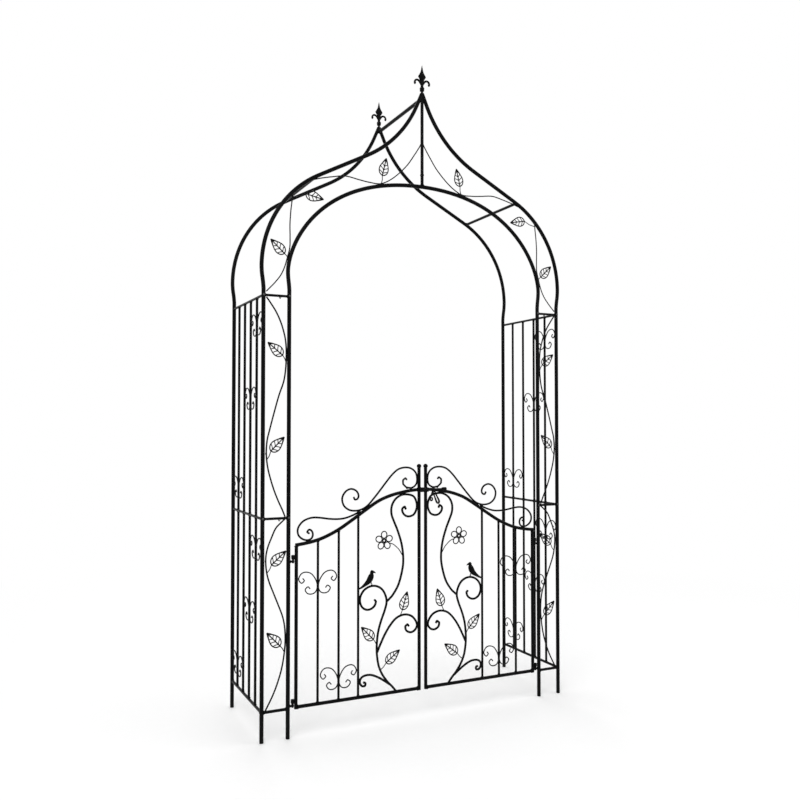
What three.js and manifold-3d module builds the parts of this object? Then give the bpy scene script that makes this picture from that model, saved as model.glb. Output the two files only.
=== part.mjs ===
// Garden arch with a pair of low gates in its front plane
// Millimetres, X to the right, Y to the back, Z up, standing on z = 0 with the middle of its plan at the origin
import * as THREE from 'three';
import { mergeVertices } from 'three/addons/utils/BufferGeometryUtils.js';
import Module from 'manifold-3d';

const wasm = await Module();
wasm.setup();

// Gap between two pieces that touch or are welded together
const gap = 0.3;
const weldDistance = 0.001;

// Plan and heights of the frame, to the middle of its tubes
const frameDepth = 384.5;
const innerLegHalf = 502.5;
const panelWidth = 89.5;
const bottomRailHeight = 98;
const midRailHeight = 730;
const topRailHeight = 1473;
const seamRise = 12;

// Tubes and bars of the frame
const tubeRadius = 7;
const boreRadius = 6;
const footPlug = 12;
const spigotLength = 24;
const spigotPlay = 0.2;
const kingPostRadius = 5.8;
const ridgeRadius = 7;
const ridgeDrop = 20;
const haunchRadius = 5.6;
const lowRailRadius = 5;
const railRadius = 4.4;
const sideBarRadius = 4.5;
const sideBarCount = 4;

// Outer ogee arch: an eased spring, a round haunch, a straight shoulder, a hollow neck and a straight tip
const ogeeSpringRise = 83;
const ogeeFlare = 7;
const ogeeHaunchRadius = 373;
const ogeeNeckRadius = 432;
const ogeeShoulderDegrees = 27.6;
const ogeeTipDegrees = 66.5;
const ogeeTipRun = 52;
const mitreRun = 20;

// Inner round arch
const innerSpringRise = 70;
const innerFlare = 5;
const innerCrownRise = 352;
const innerHaunchPull = 104;
const innerCrownPull = 390;

// Wires and leaves of the ornament
const vineRadius = 2.1;
const panelVineRadius = 2.7;
const scrollRadius = 3.4;
const branchRadius = 4;
const leafLength = 63;
const leafWidth = 35;
const leafThickness = 3.2;
const stalkRadius = 1.5;
const butterflyRise = 50;
const nibDrop = 9;
const nibRadius = 5;

// Gate leaves
const gateBottomHeight = 100;
const gateRise = 708;
const meetingHalf = 13.2;
const stileRadius = 6;
const gateBarRadius = 4.2;
const ballRadius = 8.3;
const ballRise = 84;
const flowerRadius = 21;
const petalRadius = 13;
const petalWire = 4;
const flowerThickness = 3.2;
const flowerHubRadius = 9.9;
const flowerHubHole = 3.2;
const birdThickness = 9;

// Hinges
const hingeReach = 16.5;
const eyeReach = 11.5;
const pinRadius = 3.9;
const eyePlay = 0.45;
const eyeRadius = 6.4;
const eyeHeight = 11;
const eyeArmRadius = 3.4;
const pinDrop = 15;
const pinTail = 6;
const pinTop = 1.2;
const shoulderRadius = 5;
const shoulderHeight = 3;

// Latch
const boltRadius = 3.6;
const boltPlay = 2.3;
const strapThickness = 2.2;
const strapLength = 15;
const strapInset = 1;
const boltTipInset = 1;
const boltLength = 75;
const knobRadius = 6.5;
const knobLength = 16;
const collarRadius = 6;
const collarLength = 5;
const collarReach = 38;
const handleLength = 54;
const handleWidth = 18;
const handleWire = 5.8;
const handleDegrees = -65;
const curlReach = 12;
const curlWireRadius = 2.4;
const curlDrop = 40;

// Finials
const finialHeight = 103.5;
const finialWidth = 31;
const curlRadius = 3.8;
const finialStemRadius = 9;
const spearHalf = 16;
const spearDepthShare = 0.4;

// Sides of round pieces
const tubeSides = 12;
const bendSides = 8;
const barSides = 8;
const wireSides = 4;
const stalkSides = 3;

// Places that follow from the sizes above
const outerLegHalf = innerLegHalf + panelWidth;
const frontY = -frameDepth / 2;
const backY = frameDepth / 2;
const midSeam = midRailHeight + seamRise;
const topSeam = topRailHeight + seamRise;
const ogeeSpringHeight = topSeam + ogeeSpringRise;
const innerSpringHeight = topSeam + innerSpringRise;
const innerCrownHeight = innerSpringHeight + innerCrownRise;
const hingeHalf = innerLegHalf - hingeReach;
const stileHalf = hingeHalf - eyeReach;
const gateWidth = stileHalf - meetingHalf;

// Turns a three.js geometry into a solid
function solid(geometry) {
  const plain = geometry.clone();
  plain.deleteAttribute('normal');
  plain.deleteAttribute('uv');
  const merged = mergeVertices(plain, weldDistance);
  const vertProperties = new Float32Array(merged.attributes.position.array);
  const triVerts = new Uint32Array(merged.index.array);
  const body = new wasm.Manifold(new wasm.Mesh({ numProp: 3, vertProperties, triVerts }));
  if (body.volume() > 0) return body;
  return new wasm.Manifold(new wasm.Mesh({ numProp: 3, vertProperties, triVerts: triVerts.reverse() }));
}

function join(...bodies) {
  return bodies.reduce((whole, body) => whole.add(body));
}

// Keeps the main body of a piece after a cut
function mainBody(body) {
  return body.decompose().reduce((best, next) => (next.volume() > best.volume() ? next : best));
}

function cope(body, ...cutters) {
  return mainBody(cutters.reduce((rest, cutter) => rest.subtract(cutter), body));
}

function mirrored(body) {
  return body.mirror([1, 0, 0]);
}

// Straight round bar between two points
function rod(from, to, radius, sides = barSides) {
  const start = new THREE.Vector3(...from);
  const end = new THREE.Vector3(...to);
  const span = end.clone().sub(start);
  const geometry = new THREE.CylinderGeometry(radius, radius, span.length(), sides);
  const upward = new THREE.Vector3(0, 1, 0);
  geometry.applyQuaternion(new THREE.Quaternion().setFromUnitVectors(upward, span.clone().normalize()));
  const middle = start.add(end).divideScalar(2);
  geometry.translate(middle.x, middle.y, middle.z);
  return solid(geometry);
}

// Round bar bent through a list of points
function wire(points, radius, sides = wireSides) {
  const path = new THREE.CatmullRomCurve3(points.map((point) => new THREE.Vector3(...point)), false, 'centripetal');
  path.getUtoTmapping = (along) => along;
  const profile = new THREE.Shape(Array.from({ length: sides }, (_, corner) => {
    const turn = (corner / sides) * 2 * Math.PI;
    return new THREE.Vector2(radius * Math.cos(turn), radius * Math.sin(turn));
  }));
  return solid(new THREE.ExtrudeGeometry(profile, { steps: points.length - 1, extrudePath: path }));
}

// Flat plate in the upright front plane, centred on y = 0, with openings cut through it
function plate(outline, thickness, openings = []) {
  const slab = (points, depth) => {
    const shape = new THREE.Shape(points.map(([x, z]) => new THREE.Vector2(x, z)));
    const geometry = new THREE.ExtrudeGeometry(shape, { depth, bevelEnabled: false });
    geometry.translate(0, 0, -depth / 2);
    geometry.rotateX(Math.PI / 2);
    return solid(geometry);
  };
  return openings.reduce((rest, opening) => rest.subtract(slab(opening, thickness * 2)), slab(outline, thickness));
}

function block(low, high) {
  const size = high.map((value, axis) => value - low[axis]);
  const geometry = new THREE.BoxGeometry(...size);
  geometry.translate(...high.map((value, axis) => (value + low[axis]) / 2));
  return solid(geometry);
}

function regular(radius, corners) {
  return Array.from({ length: corners }, (_, corner) => {
    const turn = (corner / corners) * 2 * Math.PI;
    return [radius * Math.cos(turn), radius * Math.sin(turn)];
  });
}

function bothSides(upper) {
  const lower = upper.slice().reverse().filter(([, z]) => z > 0).map(([x, z]) => [x, -z]);
  return [...upper, ...lower];
}

// Leaf with a midrib and side veins, its tip along +X before it is turned
const leafEdgeShares = [[0, 0.14], [0.1, 0.74], [0.28, 1], [0.5, 0.9], [0.74, 0.52], [1, 0]];
const leafWindowShares = [
  [[0.08, 0.13], [0.25, 0.13], [0.4, 0.74], [0.19, 0.7]],
  [[0.33, 0.13], [0.76, 0.13], [0.66, 0.42], [0.48, 0.68]],
];

const onBlade = (shares, side) => shares.map(([far, out]) => [far * leafLength, (side * out * leafWidth) / 2]);
const leafBlade = plate(bothSides(onBlade(leafEdgeShares, 1)), leafThickness,
  [1, -1].flatMap((side) => leafWindowShares.map((window) => onBlade(window, side))));

function leaf([x, z], degrees) {
  return leafBlade.rotate([0, -degrees, 0]).translate([x, 0, z]);
}

// Leaf on a stalk that springs from a point of its vine
function stalkedLeaf(root, base, degrees) {
  const turn = THREE.MathUtils.degToRad(degrees);
  const inside = [base[0] + stalkRadius * 2 * Math.cos(turn), base[1] + stalkRadius * 2 * Math.sin(turn)];
  const stalk = rod([root[0], 0, root[1]], [inside[0], 0, inside[1]], stalkRadius, stalkSides);
  return leaf(base, degrees).add(stalk);
}

// Pair of scrolls welded to a bar, in shares of their half span and of their rise
const butterflyShares = [
  [0.79, 0.6], [0.71, 0.42], [0.86, 0.28], [1, 0.56], [0.87, 0.9], [0.63, 1], [0.34, 0.86], [0.11, 0.44],
  [0.03, 0], [0.11, -0.36], [0.31, -0.5], [0.54, -0.44], [0.66, -0.18], [0.52, 0], [0.4, -0.15],
];

function butterfly(toPlace, centre, height, halfSpan) {
  const arms = [1, -1].map((side) => wire(butterflyShares.map(([out, up]) => (
    toPlace(centre + side * out * halfSpan, height + up * butterflyRise))), vineRadius));
  return join(...arms);
}

// Points of the left outer ogee from the top seam to the tip, eased out over its spring by shares of rise and flare
const easeShares = [[0, 0], [0.14, 0], [0.42, 0.3], [0.72, 0.8], [1, 1]];

function ogeePoints(steps) {
  const shoulder = THREE.MathUtils.degToRad(ogeeShoulderDegrees);
  const tip = THREE.MathUtils.degToRad(ogeeTipDegrees);
  const haunchTurn = Math.PI / 2 - shoulder;
  const points = easeShares.map(([up, out]) => [-outerLegHalf - out * ogeeFlare, topSeam + up * ogeeSpringRise]);
  for (let step = 1; step <= steps; step += 1) {
    const turn = (haunchTurn * step) / steps;
    points.push([-outerLegHalf - ogeeFlare + ogeeHaunchRadius * (1 - Math.cos(turn)),
      ogeeSpringHeight + ogeeHaunchRadius * Math.sin(turn)]);
  }
  const neckReach = ogeeNeckRadius * (Math.sin(tip) - Math.sin(shoulder));
  const tipReach = ogeeTipRun * Math.cos(tip);
  const [haunchX, haunchZ] = points[points.length - 1];
  const shoulderReach = -haunchX - neckReach - tipReach;
  const neckStart = [haunchX + shoulderReach, haunchZ + shoulderReach * Math.tan(shoulder)];
  for (let step = 0; step <= steps; step += 1) {
    const turn = shoulder + ((tip - shoulder) * step) / steps;
    points.push([neckStart[0] + ogeeNeckRadius * (Math.sin(turn) - Math.sin(shoulder)),
      neckStart[1] + ogeeNeckRadius * (Math.cos(shoulder) - Math.cos(turn))]);
  }
  points.push([0, points[points.length - 1][1] + tipReach * Math.tan(tip)]);
  return points;
}

// Points of the left half of the inner arch from the top seam to the crown
function innerPoints(steps) {
  const spring = -innerLegHalf - innerFlare;
  const bend = new THREE.CubicBezierCurve3(
    new THREE.Vector3(spring, 0, innerSpringHeight),
    new THREE.Vector3(spring, 0, innerSpringHeight + innerHaunchPull),
    new THREE.Vector3(-innerCrownPull, 0, innerCrownHeight),
    new THREE.Vector3(0, 0, innerCrownHeight),
  );
  const foot = easeShares.slice(0, -1).map(([up, out]) => (
    [-innerLegHalf - out * innerFlare, topSeam + up * innerSpringRise]));
  return [...foot, ...bend.getPoints(steps).map((point) => [point.x, point.z])];
}

// Point at a share of the length of a list of points
function along(points, share) {
  const lengths = [0];
  for (let step = 1; step < points.length; step += 1) {
    lengths.push(lengths[step - 1] + Math.hypot(points[step][0] - points[step - 1][0], points[step][1] - points[step - 1][1]));
  }
  const target = share * lengths[lengths.length - 1];
  const next = Math.min(Math.max(lengths.findIndex((length) => length >= target), 1), points.length - 1);
  const part = (target - lengths[next - 1]) / (lengths[next] - lengths[next - 1]);
  return points[next].map((value, axis) => points[next - 1][axis] + part * (value - points[next - 1][axis]));
}

const bendSteps = 8;
const innerSteps = 12;
const ogeeLine = ogeePoints(bendSteps);
const innerLine = innerPoints(innerSteps);
const apexHeight = ogeeLine[ogeeLine.length - 1][1];
const haunchShare = 0.461;
const haunchPlace = along(ogeeLine, haunchShare);

// Left half of an ogee tube, mitred at the tip and cut level for the finial
function ogeeHalf(radius, mitre, level) {
  const points = ogeePoints(bendSteps);
  const [tipX, tipZ] = points[points.length - 1];
  const tip = THREE.MathUtils.degToRad(ogeeTipDegrees);
  points[points.length - 1] = [tipX + mitreRun * Math.cos(tip), tipZ + mitreRun * Math.sin(tip)];
  points[0][1] += gap;
  const tube = wire(points.map(([x, z]) => [x, 0, z]), radius, bendSides);
  const past = mitreRun * 2;
  return cope(tube, block([mitre, -past, apexHeight - past * 2], [past * 2, past, apexHeight + past * 2]),
    block([-past * 2, -past, level], [past * 2, past, level + past * 2]));
}

// Reduced end that plugs into the bore of the tube below
function spigot(x, seam) {
  return rod([x, 0, seam - spigotLength], [x, 0, seam + gap + weldDistance], boreRadius - spigotPlay);
}

function ogeeTube() {
  return ogeeHalf(tubeRadius, -gap / 2, apexHeight).add(spigot(-outerLegHalf, topSeam));
}

function innerArch(radius) {
  const half = innerPoints(innerSteps);
  half[0][1] += gap;
  const points = [...half, ...half.slice(0, -1).reverse().map(([x, z]) => [-x, z])];
  return wire(points.map(([x, z]) => [x, 0, z]), radius, bendSides);
}

// Leg tubes, closed at the foot and open at the seams
function lowerLeg() {
  const bore = rod([0, 0, footPlug], [0, 0, midSeam + seamRise], boreRadius);
  return rod([0, 0, 0], [0, 0, midSeam], tubeRadius, tubeSides).subtract(bore);
}

function upperLeg() {
  const bore = rod([0, 0, midSeam + seamRise], [0, 0, topSeam + seamRise], boreRadius);
  return rod([0, 0, midSeam + gap], [0, 0, topSeam], tubeRadius, tubeSides).add(spigot(0, midSeam)).subtract(bore);
}

function kingPost(radius) {
  return rod([0, 0, innerCrownHeight], [0, 0, apexHeight], radius);
}

// Shapes to cut ornament with, one gap larger than the tubes
const ogeeCutter = ogeeHalf(tubeRadius + gap, 0, apexHeight + gap);
const innerCutter = innerArch(tubeRadius + gap);
const kingCutter = kingPost(kingPostRadius + gap);
const legCutter = [-outerLegHalf, -innerLegHalf].map((x) => (
  rod([x, 0, 0], [x, 0, topSeam + seamRise], tubeRadius + gap, tubeSides))).reduce((a, b) => a.add(b));

// Side grille in its own upright plane: rails, bars and scrolls
const sideY = (y, z) => [0, y, z];
const sideSpan = frameDepth / 2 - tubeRadius - gap;
const sidePitch = frameDepth / (sideBarCount + 1);
const sideButterflySpan = sidePitch - tubeRadius - vineRadius - gap;
const lowerScrollShares = [[1, 0.815], [2, 0.46], [4, 0.106]];
const upperScrollShares = [[1, 0.861], [2, 0.525], [4, 0.097]];

function sideGrille(rails, low, high, from, to, scrollShares) {
  const bodies = rails.map(([height, radius]) => rod(sideY(-sideSpan, height), sideY(sideSpan, height), radius));
  for (let bar = 1; bar <= sideBarCount; bar += 1) {
    const y = bar * sidePitch - frameDepth / 2;
    bodies.push(rod(sideY(y, low), sideY(y, high), sideBarRadius));
  }
  for (const [bar, share] of scrollShares) {
    const height = from + share * (to - from);
    bodies.push(butterfly(sideY, bar * sidePitch - frameDepth / 2, height, sideButterflySpan));
  }
  return join(...bodies);
}

const lowerSide = sideGrille([[bottomRailHeight, lowRailRadius], [midRailHeight, railRadius]],
  bottomRailHeight, midRailHeight, bottomRailHeight, midRailHeight, lowerScrollShares);
const upperSide = sideGrille([[topRailHeight, railRadius]],
  midRailHeight + railRadius + gap, topRailHeight, midRailHeight, topRailHeight, upperScrollShares);

// Vine panel between the outer and inner front legs, in shares of the clear band and of the rail spacing
const bandClear = tubeRadius + panelVineRadius + gap;
const bandLeft = -outerLegHalf + bandClear;
const bandRight = -innerLegHalf - bandClear;
const lowerVineShares = [
  [0, 0], [0.15, 0.03], [0.4, 0.082], [0.62, 0.14], [0.82, 0.21], [0.94, 0.28], [1, 0.35], [0.98, 0.42],
  [0.88, 0.48], [0.66, 0.545], [0.4, 0.615], [0.17, 0.68], [0.05, 0.74], [0.03, 0.8], [0.12, 0.85],
  [0.27, 0.892], [0.5, 0.947], [0.75, 0.975], [1.03, 0.998],
];
const lowerLeafShares = [[[0.94, 0.3], [0.74, 0.334], 134], [[0.1, 0.728], [0.32, 0.76], 41]];
const upperVineShares = [
  [0.97, 0.002], [0.84, 0.036], [0.62, 0.08], [0.42, 0.126], [0.24, 0.178], [0.1, 0.23], [0.03, 0.29],
  [0.07, 0.35], [0.2, 0.4], [0.38, 0.464], [0.64, 0.55], [0.88, 0.615], [0.98, 0.68], [1, 0.75],
  [0.96, 0.8], [0.86, 0.842], [0.7, 0.886], [0.48, 0.928], [0.2, 0.967], [-0.05, 0.998],
];
const upperLeafShares = [[[0.99, 0.7], [0.81, 0.733], 141], [[0.06, 0.272], [0.26, 0.302], 45]];
const nibShare = 0.68;

function panelRail(height, radius) {
  const low = -outerLegHalf + tubeRadius + gap;
  const high = -innerLegHalf - tubeRadius - gap;
  return rod([low, 0, height], [high, 0, height], radius);
}

// Small hook under a rail, pointing down
function railNib(height) {
  const cone = new THREE.ConeGeometry(nibRadius, nibDrop, stalkSides);
  cone.rotateX(-Math.PI / 2);
  const x = bandLeft + nibShare * (bandRight - bandLeft);
  cone.translate(x, 0, height - nibDrop / 2);
  return solid(cone);
}

function vinePanel(rails, from, to, vineShares, leafShares) {
  const place = ([across, up]) => [bandLeft + across * (bandRight - bandLeft), from + up * (to - from)];
  const vine = wire(vineShares.map((share) => {
    const [x, z] = place(share);
    return [x, 0, z];
  }), panelVineRadius);
  const leaves = leafShares.map(([root, base, degrees]) => stalkedLeaf(place(root), place(base), degrees));
  return join(vine, ...leaves, ...rails);
}

const midRail = panelRail(midRailHeight, railRadius).add(railNib(midRailHeight));
const lowerPanel = cope(vinePanel([panelRail(bottomRailHeight, lowRailRadius), midRail],
  bottomRailHeight, midRailHeight, lowerVineShares, lowerLeafShares), legCutter);
const topRail = panelRail(topRailHeight, railRadius).add(railNib(topRailHeight));
const upperPanel = cope(vinePanel([topRail], midRailHeight, topRailHeight, upperVineShares, upperLeafShares),
  legCutter, panelRail(midRailHeight, railRadius + gap));

// Arch vines, in shares of the tubes' length and of the clear band between them
const lowArchShares = [
  [0, -0.1], [0.037, 0.47], [0.07, 0.77], [0.11, 0.95], [0.156, 1], [0.2, 0.97], [0.24, 0.8], [0.275, 0.58],
  [0.31, 0.34], [0.337, 0.13], [0.358, -0.1],
];
const lowArchLeafShares = [[[0.156, 1], [0.163, 0.83], 137], [[0.348, 0.02], [0.401, 0.265], -11]];
const highArchShares = [
  [0.443, -0.1], [0.475, 0.03], [0.52, 0.16], [0.58, 0.36], [0.65, 0.7], [0.71, 0.9], [0.778, 1],
  [0.84, 0.9], [0.905, 0.74], [0.952, 0.62], [0.985, 0.555], [1, 0.5],
];
const highArchLeafShares = [[[0.778, 1], [0.773, 0.79], 76]];
const vineClear = tubeRadius + vineRadius + gap;

function archPlace([share, across]) {
  const outer = along(ogeeLine, share);
  const inner = along(innerLine, share);
  const width = Math.hypot(inner[0] - outer[0], inner[1] - outer[1]);
  const part = (vineClear + across * (width - 2 * vineClear)) / width;
  return outer.map((value, axis) => value + part * (inner[axis] - value));
}

function archVine(vineShares, leafShares) {
  const vine = wire(vineShares.map((share) => {
    const [x, z] = archPlace(share);
    return [x, 0, z];
  }), vineRadius);
  const leaves = leafShares.map(([root, base, degrees]) => stalkedLeaf(archPlace(root), archPlace(base), degrees));
  const seated = panelRail(topRailHeight, railRadius + gap);
  return cope(join(vine, ...leaves), ogeeCutter, innerCutter, legCutter, kingCutter, seated);
}

const lowArchVine = archVine(lowArchShares, lowArchLeafShares);
const highArchVine = archVine(highArchShares, highArchLeafShares);

// Spear finial: a turned stem with two collars, a flattened spear head and two drooping curls
const stemShares = [
  [0, 0], [0.48, 0], [0.48, 0.05], [0.88, 0.085], [1, 0.15], [0.62, 0.21], [0.6, 0.36], [0, 0.46],
];
const spearShares = [[0, 0.34], [0.3, 0.37], [0.42, 0.43], [0.58, 0.48], [1, 0.59], [0.54, 0.71], [0.3, 0.8], [0.17, 0.9], [0, 1]];
const finialCurlShares = [
  [0, 0.3], [0.2, 0.364], [0.36, 0.425], [0.54, 0.454], [0.735, 0.454], [0.92, 0.41], [0.99, 0.36], [0.93, 0.322],
  [0.82, 0.31],
];

function turned(profileShares, radius, height) {
  const profile = profileShares.map(([out, up]) => new THREE.Vector2(out * radius, up * height));
  const geometry = new THREE.LatheGeometry(profile, bendSides);
  geometry.rotateX(Math.PI / 2);
  return geometry;
}

function finial() {
  const spear = turned(spearShares, spearHalf, finialHeight);
  spear.scale(1, spearDepthShare, 1);
  const curls = [1, -1].map((side) => wire(finialCurlShares.map(([out, up]) => (
    [side * out * finialWidth, 0, up * finialHeight])), curlRadius));
  const whole = join(solid(turned(stemShares, finialStemRadius, finialHeight)), solid(spear), ...curls);
  return cope(whole.translate([0, 0, apexHeight]), ogeeCutter, mirrored(ogeeCutter));
}

// Hinge pin: an arm from the leg, an upright pin with a tail and a shoulder that carries the eye
const lowerHingeShare = 0.03;
const upperHingeShare = 0.705;

function hingePin(share) {
  const eye = gateBottomHeight + share * gateRise;
  const elbow = eye - pinDrop;
  const top = eye + eyeHeight / 2 + pinTop;
  const seat = eye - eyeHeight / 2 - gap;
  const arm = rod([-innerLegHalf + tubeRadius + gap, 0, elbow], [-hingeHalf, 0, elbow], pinRadius);
  const pin = rod([-hingeHalf, 0, elbow - pinTail], [-hingeHalf, 0, top], pinRadius, tubeSides);
  const shoulder = rod([-hingeHalf, 0, seat - shoulderHeight], [-hingeHalf, 0, seat], shoulderRadius, tubeSides);
  return join(arm, pin, shoulder);
}

// Left gate leaf: places on it are read on a grid of 460 across and 708 up, from the bottom of the hinge stile
const gridAcrossShare = 1 / 460;
const gridUpShare = 1 / 708;
const onLeaf = ([across, up]) => [-stileHalf + across * gridAcrossShare * gateWidth,
  gateBottomHeight + up * gridUpShare * gateRise];
const leafWire = (shares, radius, sides) => wire(shares.map((share) => {
  const [x, z] = onLeaf(share);
  return [x, 0, z];
}), radius, sides);

const topRailShares = [
  [-5, 537.5], [24, 541], [60, 547], [100, 558.5], [150, 581], [200, 611], [250, 643], [300, 673], [350, 691.5],
  [400, 702], [430, 706], [462, 708],
];
const gateTopRail = (radius) => leafWire(topRailShares, radius, bendSides);
const gateBottomRail = (radius) => rod([-stileHalf + stileRadius + gap, 0, gateBottomHeight],
  [-meetingHalf - stileRadius - gap, 0, gateBottomHeight], radius);
const stileFoot = gateBottomHeight - stileRadius;
const hingeStileTop = gateBottomHeight + topRailShares[1][1] * gridUpShare * gateRise;
const ballHeight = gateBottomHeight + gateRise + ballRise;

function hingeStile() {
  const stile = rod([-stileHalf, 0, stileFoot], [-stileHalf, 0, hingeStileTop], stileRadius, tubeSides);
  const holes = [];
  const eyes = [lowerHingeShare, upperHingeShare].map((share) => {
    const eye = gateBottomHeight + share * gateRise;
    const low = eye - eyeHeight / 2;
    const high = eye + eyeHeight / 2;
    holes.push(rod([-hingeHalf, 0, low - eyeHeight], [-hingeHalf, 0, high + eyeHeight], pinRadius + eyePlay, tubeSides));
    const arm = rod([-hingeHalf, 0, eye], [-stileHalf, 0, eye], eyeArmRadius);
    return rod([-hingeHalf, 0, low], [-hingeHalf, 0, high], eyeRadius, tubeSides).add(arm);
  });
  return cope(join(stile, ...eyes), ...holes, gateTopRail(stileRadius + gap));
}

const ballSides = 8;
function meetingStile(grow) {
  const ball = new THREE.SphereGeometry(ballRadius + grow, ballSides, ballSides - 2);
  ball.rotateX(Math.PI / 2);
  ball.translate(-meetingHalf, 0, ballHeight);
  const stile = rod([-meetingHalf, 0, stileFoot - grow], [-meetingHalf, 0, ballHeight], stileRadius + grow, tubeSides);
  return stile.add(solid(ball));
}

// Upright bars, at shares of the leaf's width, with scrolls on two of them
const gateBarShares = [0.166, 0.33, 0.487];
const barX = gateBarShares.map((share) => -stileHalf + share * gateWidth);
const frontZ = (x, z) => [x, 0, z];
const firstSpan = Math.min(barX[0] + stileHalf - stileRadius, barX[1] - barX[0] - gateBarRadius) - vineRadius - gap;
const secondSpan = Math.min(barX[1] - barX[0], barX[2] - barX[1]) - gateBarRadius - vineRadius - gap;
const barScrollShares = [[0.558, firstSpan], [0.093, secondSpan]];

function gateBar(index, radius) {
  const foot = gateBottomHeight + stileRadius + gap;
  return rod([barX[index], 0, foot], [barX[index], 0, gateBottomHeight + gateRise], radius)
    .subtract(gateTopRail(stileRadius + gap));
}

function scrolledBar(index) {
  const bar = mainBody(gateBar(index, gateBarRadius));
  if (!barScrollShares[index]) return bar;
  const [share, halfSpan] = barScrollShares[index];
  return bar.add(butterfly(frontZ, barX[index], gateBottomHeight + share * gateRise, halfSpan));
}

// Everything that the ornament of a leaf has to clear
const leafCutters = [
  rod([-stileHalf, 0, stileFoot], [-stileHalf, 0, hingeStileTop], stileRadius + gap, tubeSides),
  meetingStile(gap), gateBottomRail(stileRadius + gap), gateTopRail(stileRadius + gap),
  mainBody(gateBar(2, gateBarRadius + gap)),
];

// Crest: two scrolls over the top rail that meet half way
const lowCrestShares = [
  [46, 573], [38, 580], [45, 587], [54, 582], [58, 570], [53, 557], [38, 552], [21, 557], [8, 569], [4, 585],
  [9, 601], [23, 616], [41, 624], [60, 627], [85, 625], [115, 620], [145, 617.5], [172, 619], [198, 626],
  [222, 636], [232, 645],
];
const highCrestShares = [
  [206, 691], [212, 681.5], [221, 684], [225, 696], [216, 712], [196, 719], [176, 710], [164, 688], [170, 663],
  [190, 647], [216, 643], [240, 648], [260, 660], [278, 678], [302, 705], [328, 736], [352, 763], [376, 782],
  [402, 788.5], [427, 785], [446, 770], [453, 748], [448, 727], [431, 715.5], [412, 717], [398, 728], [396, 742],
  [405, 750], [412, 744],
];

function crest() {
  return cope(leafWire(lowCrestShares, scrollRadius).add(leafWire(highCrestShares, scrollRadius)), ...leafCutters);
}

// Vine of the leaf: stem with its big scroll, three branches, leaves, flower and bird
const stemLineShares = [
  [370, -4], [354, 20], [335, 40], [320, 60], [308, 82], [299, 110], [294, 155], [297, 200], [303, 230],
  [313, 260], [325, 290], [332, 318], [327, 343], [313, 365], [291, 377], [267, 377], [246, 366], [233, 347],
  [230, 327], [238, 308], [255, 298], [272, 299], [286, 309], [291, 322], [285, 331],
];
const upperBranchShares = [
  [408, 639], [402, 649], [393, 641], [396, 627], [408, 616], [424, 614], [441, 622], [452, 645], [449, 668],
  [437, 685], [415, 693], [390, 692], [366, 677], [352, 653], [351, 625], [361, 598], [376, 563], [391, 515],
  [397, 465], [393, 425], [378, 375], [357, 342], [333, 320],
];
const sideBranchShares = [
  [297, 148], [307, 170], [324, 203], [345, 234], [370, 258], [400, 267], [428, 260], [447, 241], [452, 222],
  [441, 207], [425, 202], [409, 210], [405, 223], [413, 231], [420, 224],
];
const footBranchShares = [
  [344, 29], [325, 43], [300, 59], [272, 71], [247, 71], [233, 62], [231, 48], [239, 37], [250, 37], [252, 46],
  [243, 49],
];
const flowerStemShares = [[342, 524], [360, 517], [379, 500], [393, 478]];
const gateLeafShares = [
  [[309, 84], [331, 106], 37], [[294, 170], [281, 193], 134], [[381, 262], [394, 285], 73],
];
const flowerShare = [322.5, 533];
const petalCount = 5;
const petalCorners = 8;
const holeCorners = 6;

function ringPlate(radius, hole) {
  const corner = radius / Math.cos(Math.PI / petalCorners);
  return plate(regular(corner, petalCorners), flowerThickness, [regular(hole, holeCorners)]);
}

function flower() {
  const [x, z] = onLeaf(flowerShare);
  const rings = Array.from({ length: petalCount }, (_, petal) => {
    const turn = Math.PI / 2 + (petal / petalCount) * 2 * Math.PI;
    return ringPlate(petalRadius, petalRadius - petalWire)
      .translate([x + flowerRadius * Math.cos(turn), 0, z + flowerRadius * Math.sin(turn)]);
  });
  const hub = ringPlate(flowerHubRadius, flowerHubHole).translate([x, 0, z]);
  return join(hub, ...rings, leafWire(flowerStemShares, stalkRadius));
}

// Bird on the big scroll, its tail on the inner bar
const birdShares = [
  [224, 371], [238, 382], [249, 393], [256, 405], [262, 417], [267, 427], [272, 434], [279, 435], [284, 431],
  [291, 422], [284, 419], [284, 408], [280, 397], [273, 389], [262, 385], [248, 381], [234, 371],
];
const birdLegShares = [[273, 391], [277, 374]];

function bird() {
  const [top, bottom] = birdLegShares.map(onLeaf);
  const leg = rod([top[0], 0, top[1]], [bottom[0], 0, bottom[1]], stalkRadius, wireSides);
  return plate(birdShares.map(onLeaf), birdThickness).add(leg);
}

function gateVine() {
  const wires = [stemLineShares, upperBranchShares, sideBranchShares, footBranchShares].map((shares) => (
    leafWire(shares, branchRadius)));
  const leaves = gateLeafShares.map(([root, base, degrees]) => stalkedLeaf(onLeaf(root), onLeaf(base), degrees));
  return cope(join(...wires, ...leaves, flower(), bird()), ...leafCutters);
}

// Latch: square loops on the meeting stiles and a bolt with a knob and a drop handle
const latchHeight = gateBottomHeight + gateRise;
const boltY = -(stileRadius + gap + boltPlay + boltRadius);
const loopInner = boltRadius + boltPlay;
const loopOuter = loopInner + strapThickness;

function latchLoop() {
  const rear = -stileRadius - gap;
  const body = block([strapInset, boltY - loopOuter, latchHeight - loopOuter],
    [strapInset + strapLength, rear, latchHeight + loopOuter]);
  return body.subtract(block([0, boltY - loopInner, latchHeight - loopInner],
    [strapInset + strapLength * 2, 0, latchHeight + loopInner]));
}

const handleEdgeShares = [[0, 0.3], [0.1, 0.7], [0.45, 0.7], [0.85, 1], [1, 0.5]];
const curlLineShares = [[0.2, 0.1], [0.4, 0.32], [0.75, 0.6], [1, 0.82], [0.8, 1], [0.35, 0.97], [0.3, 0.8], [0.62, 0.74]];

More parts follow.
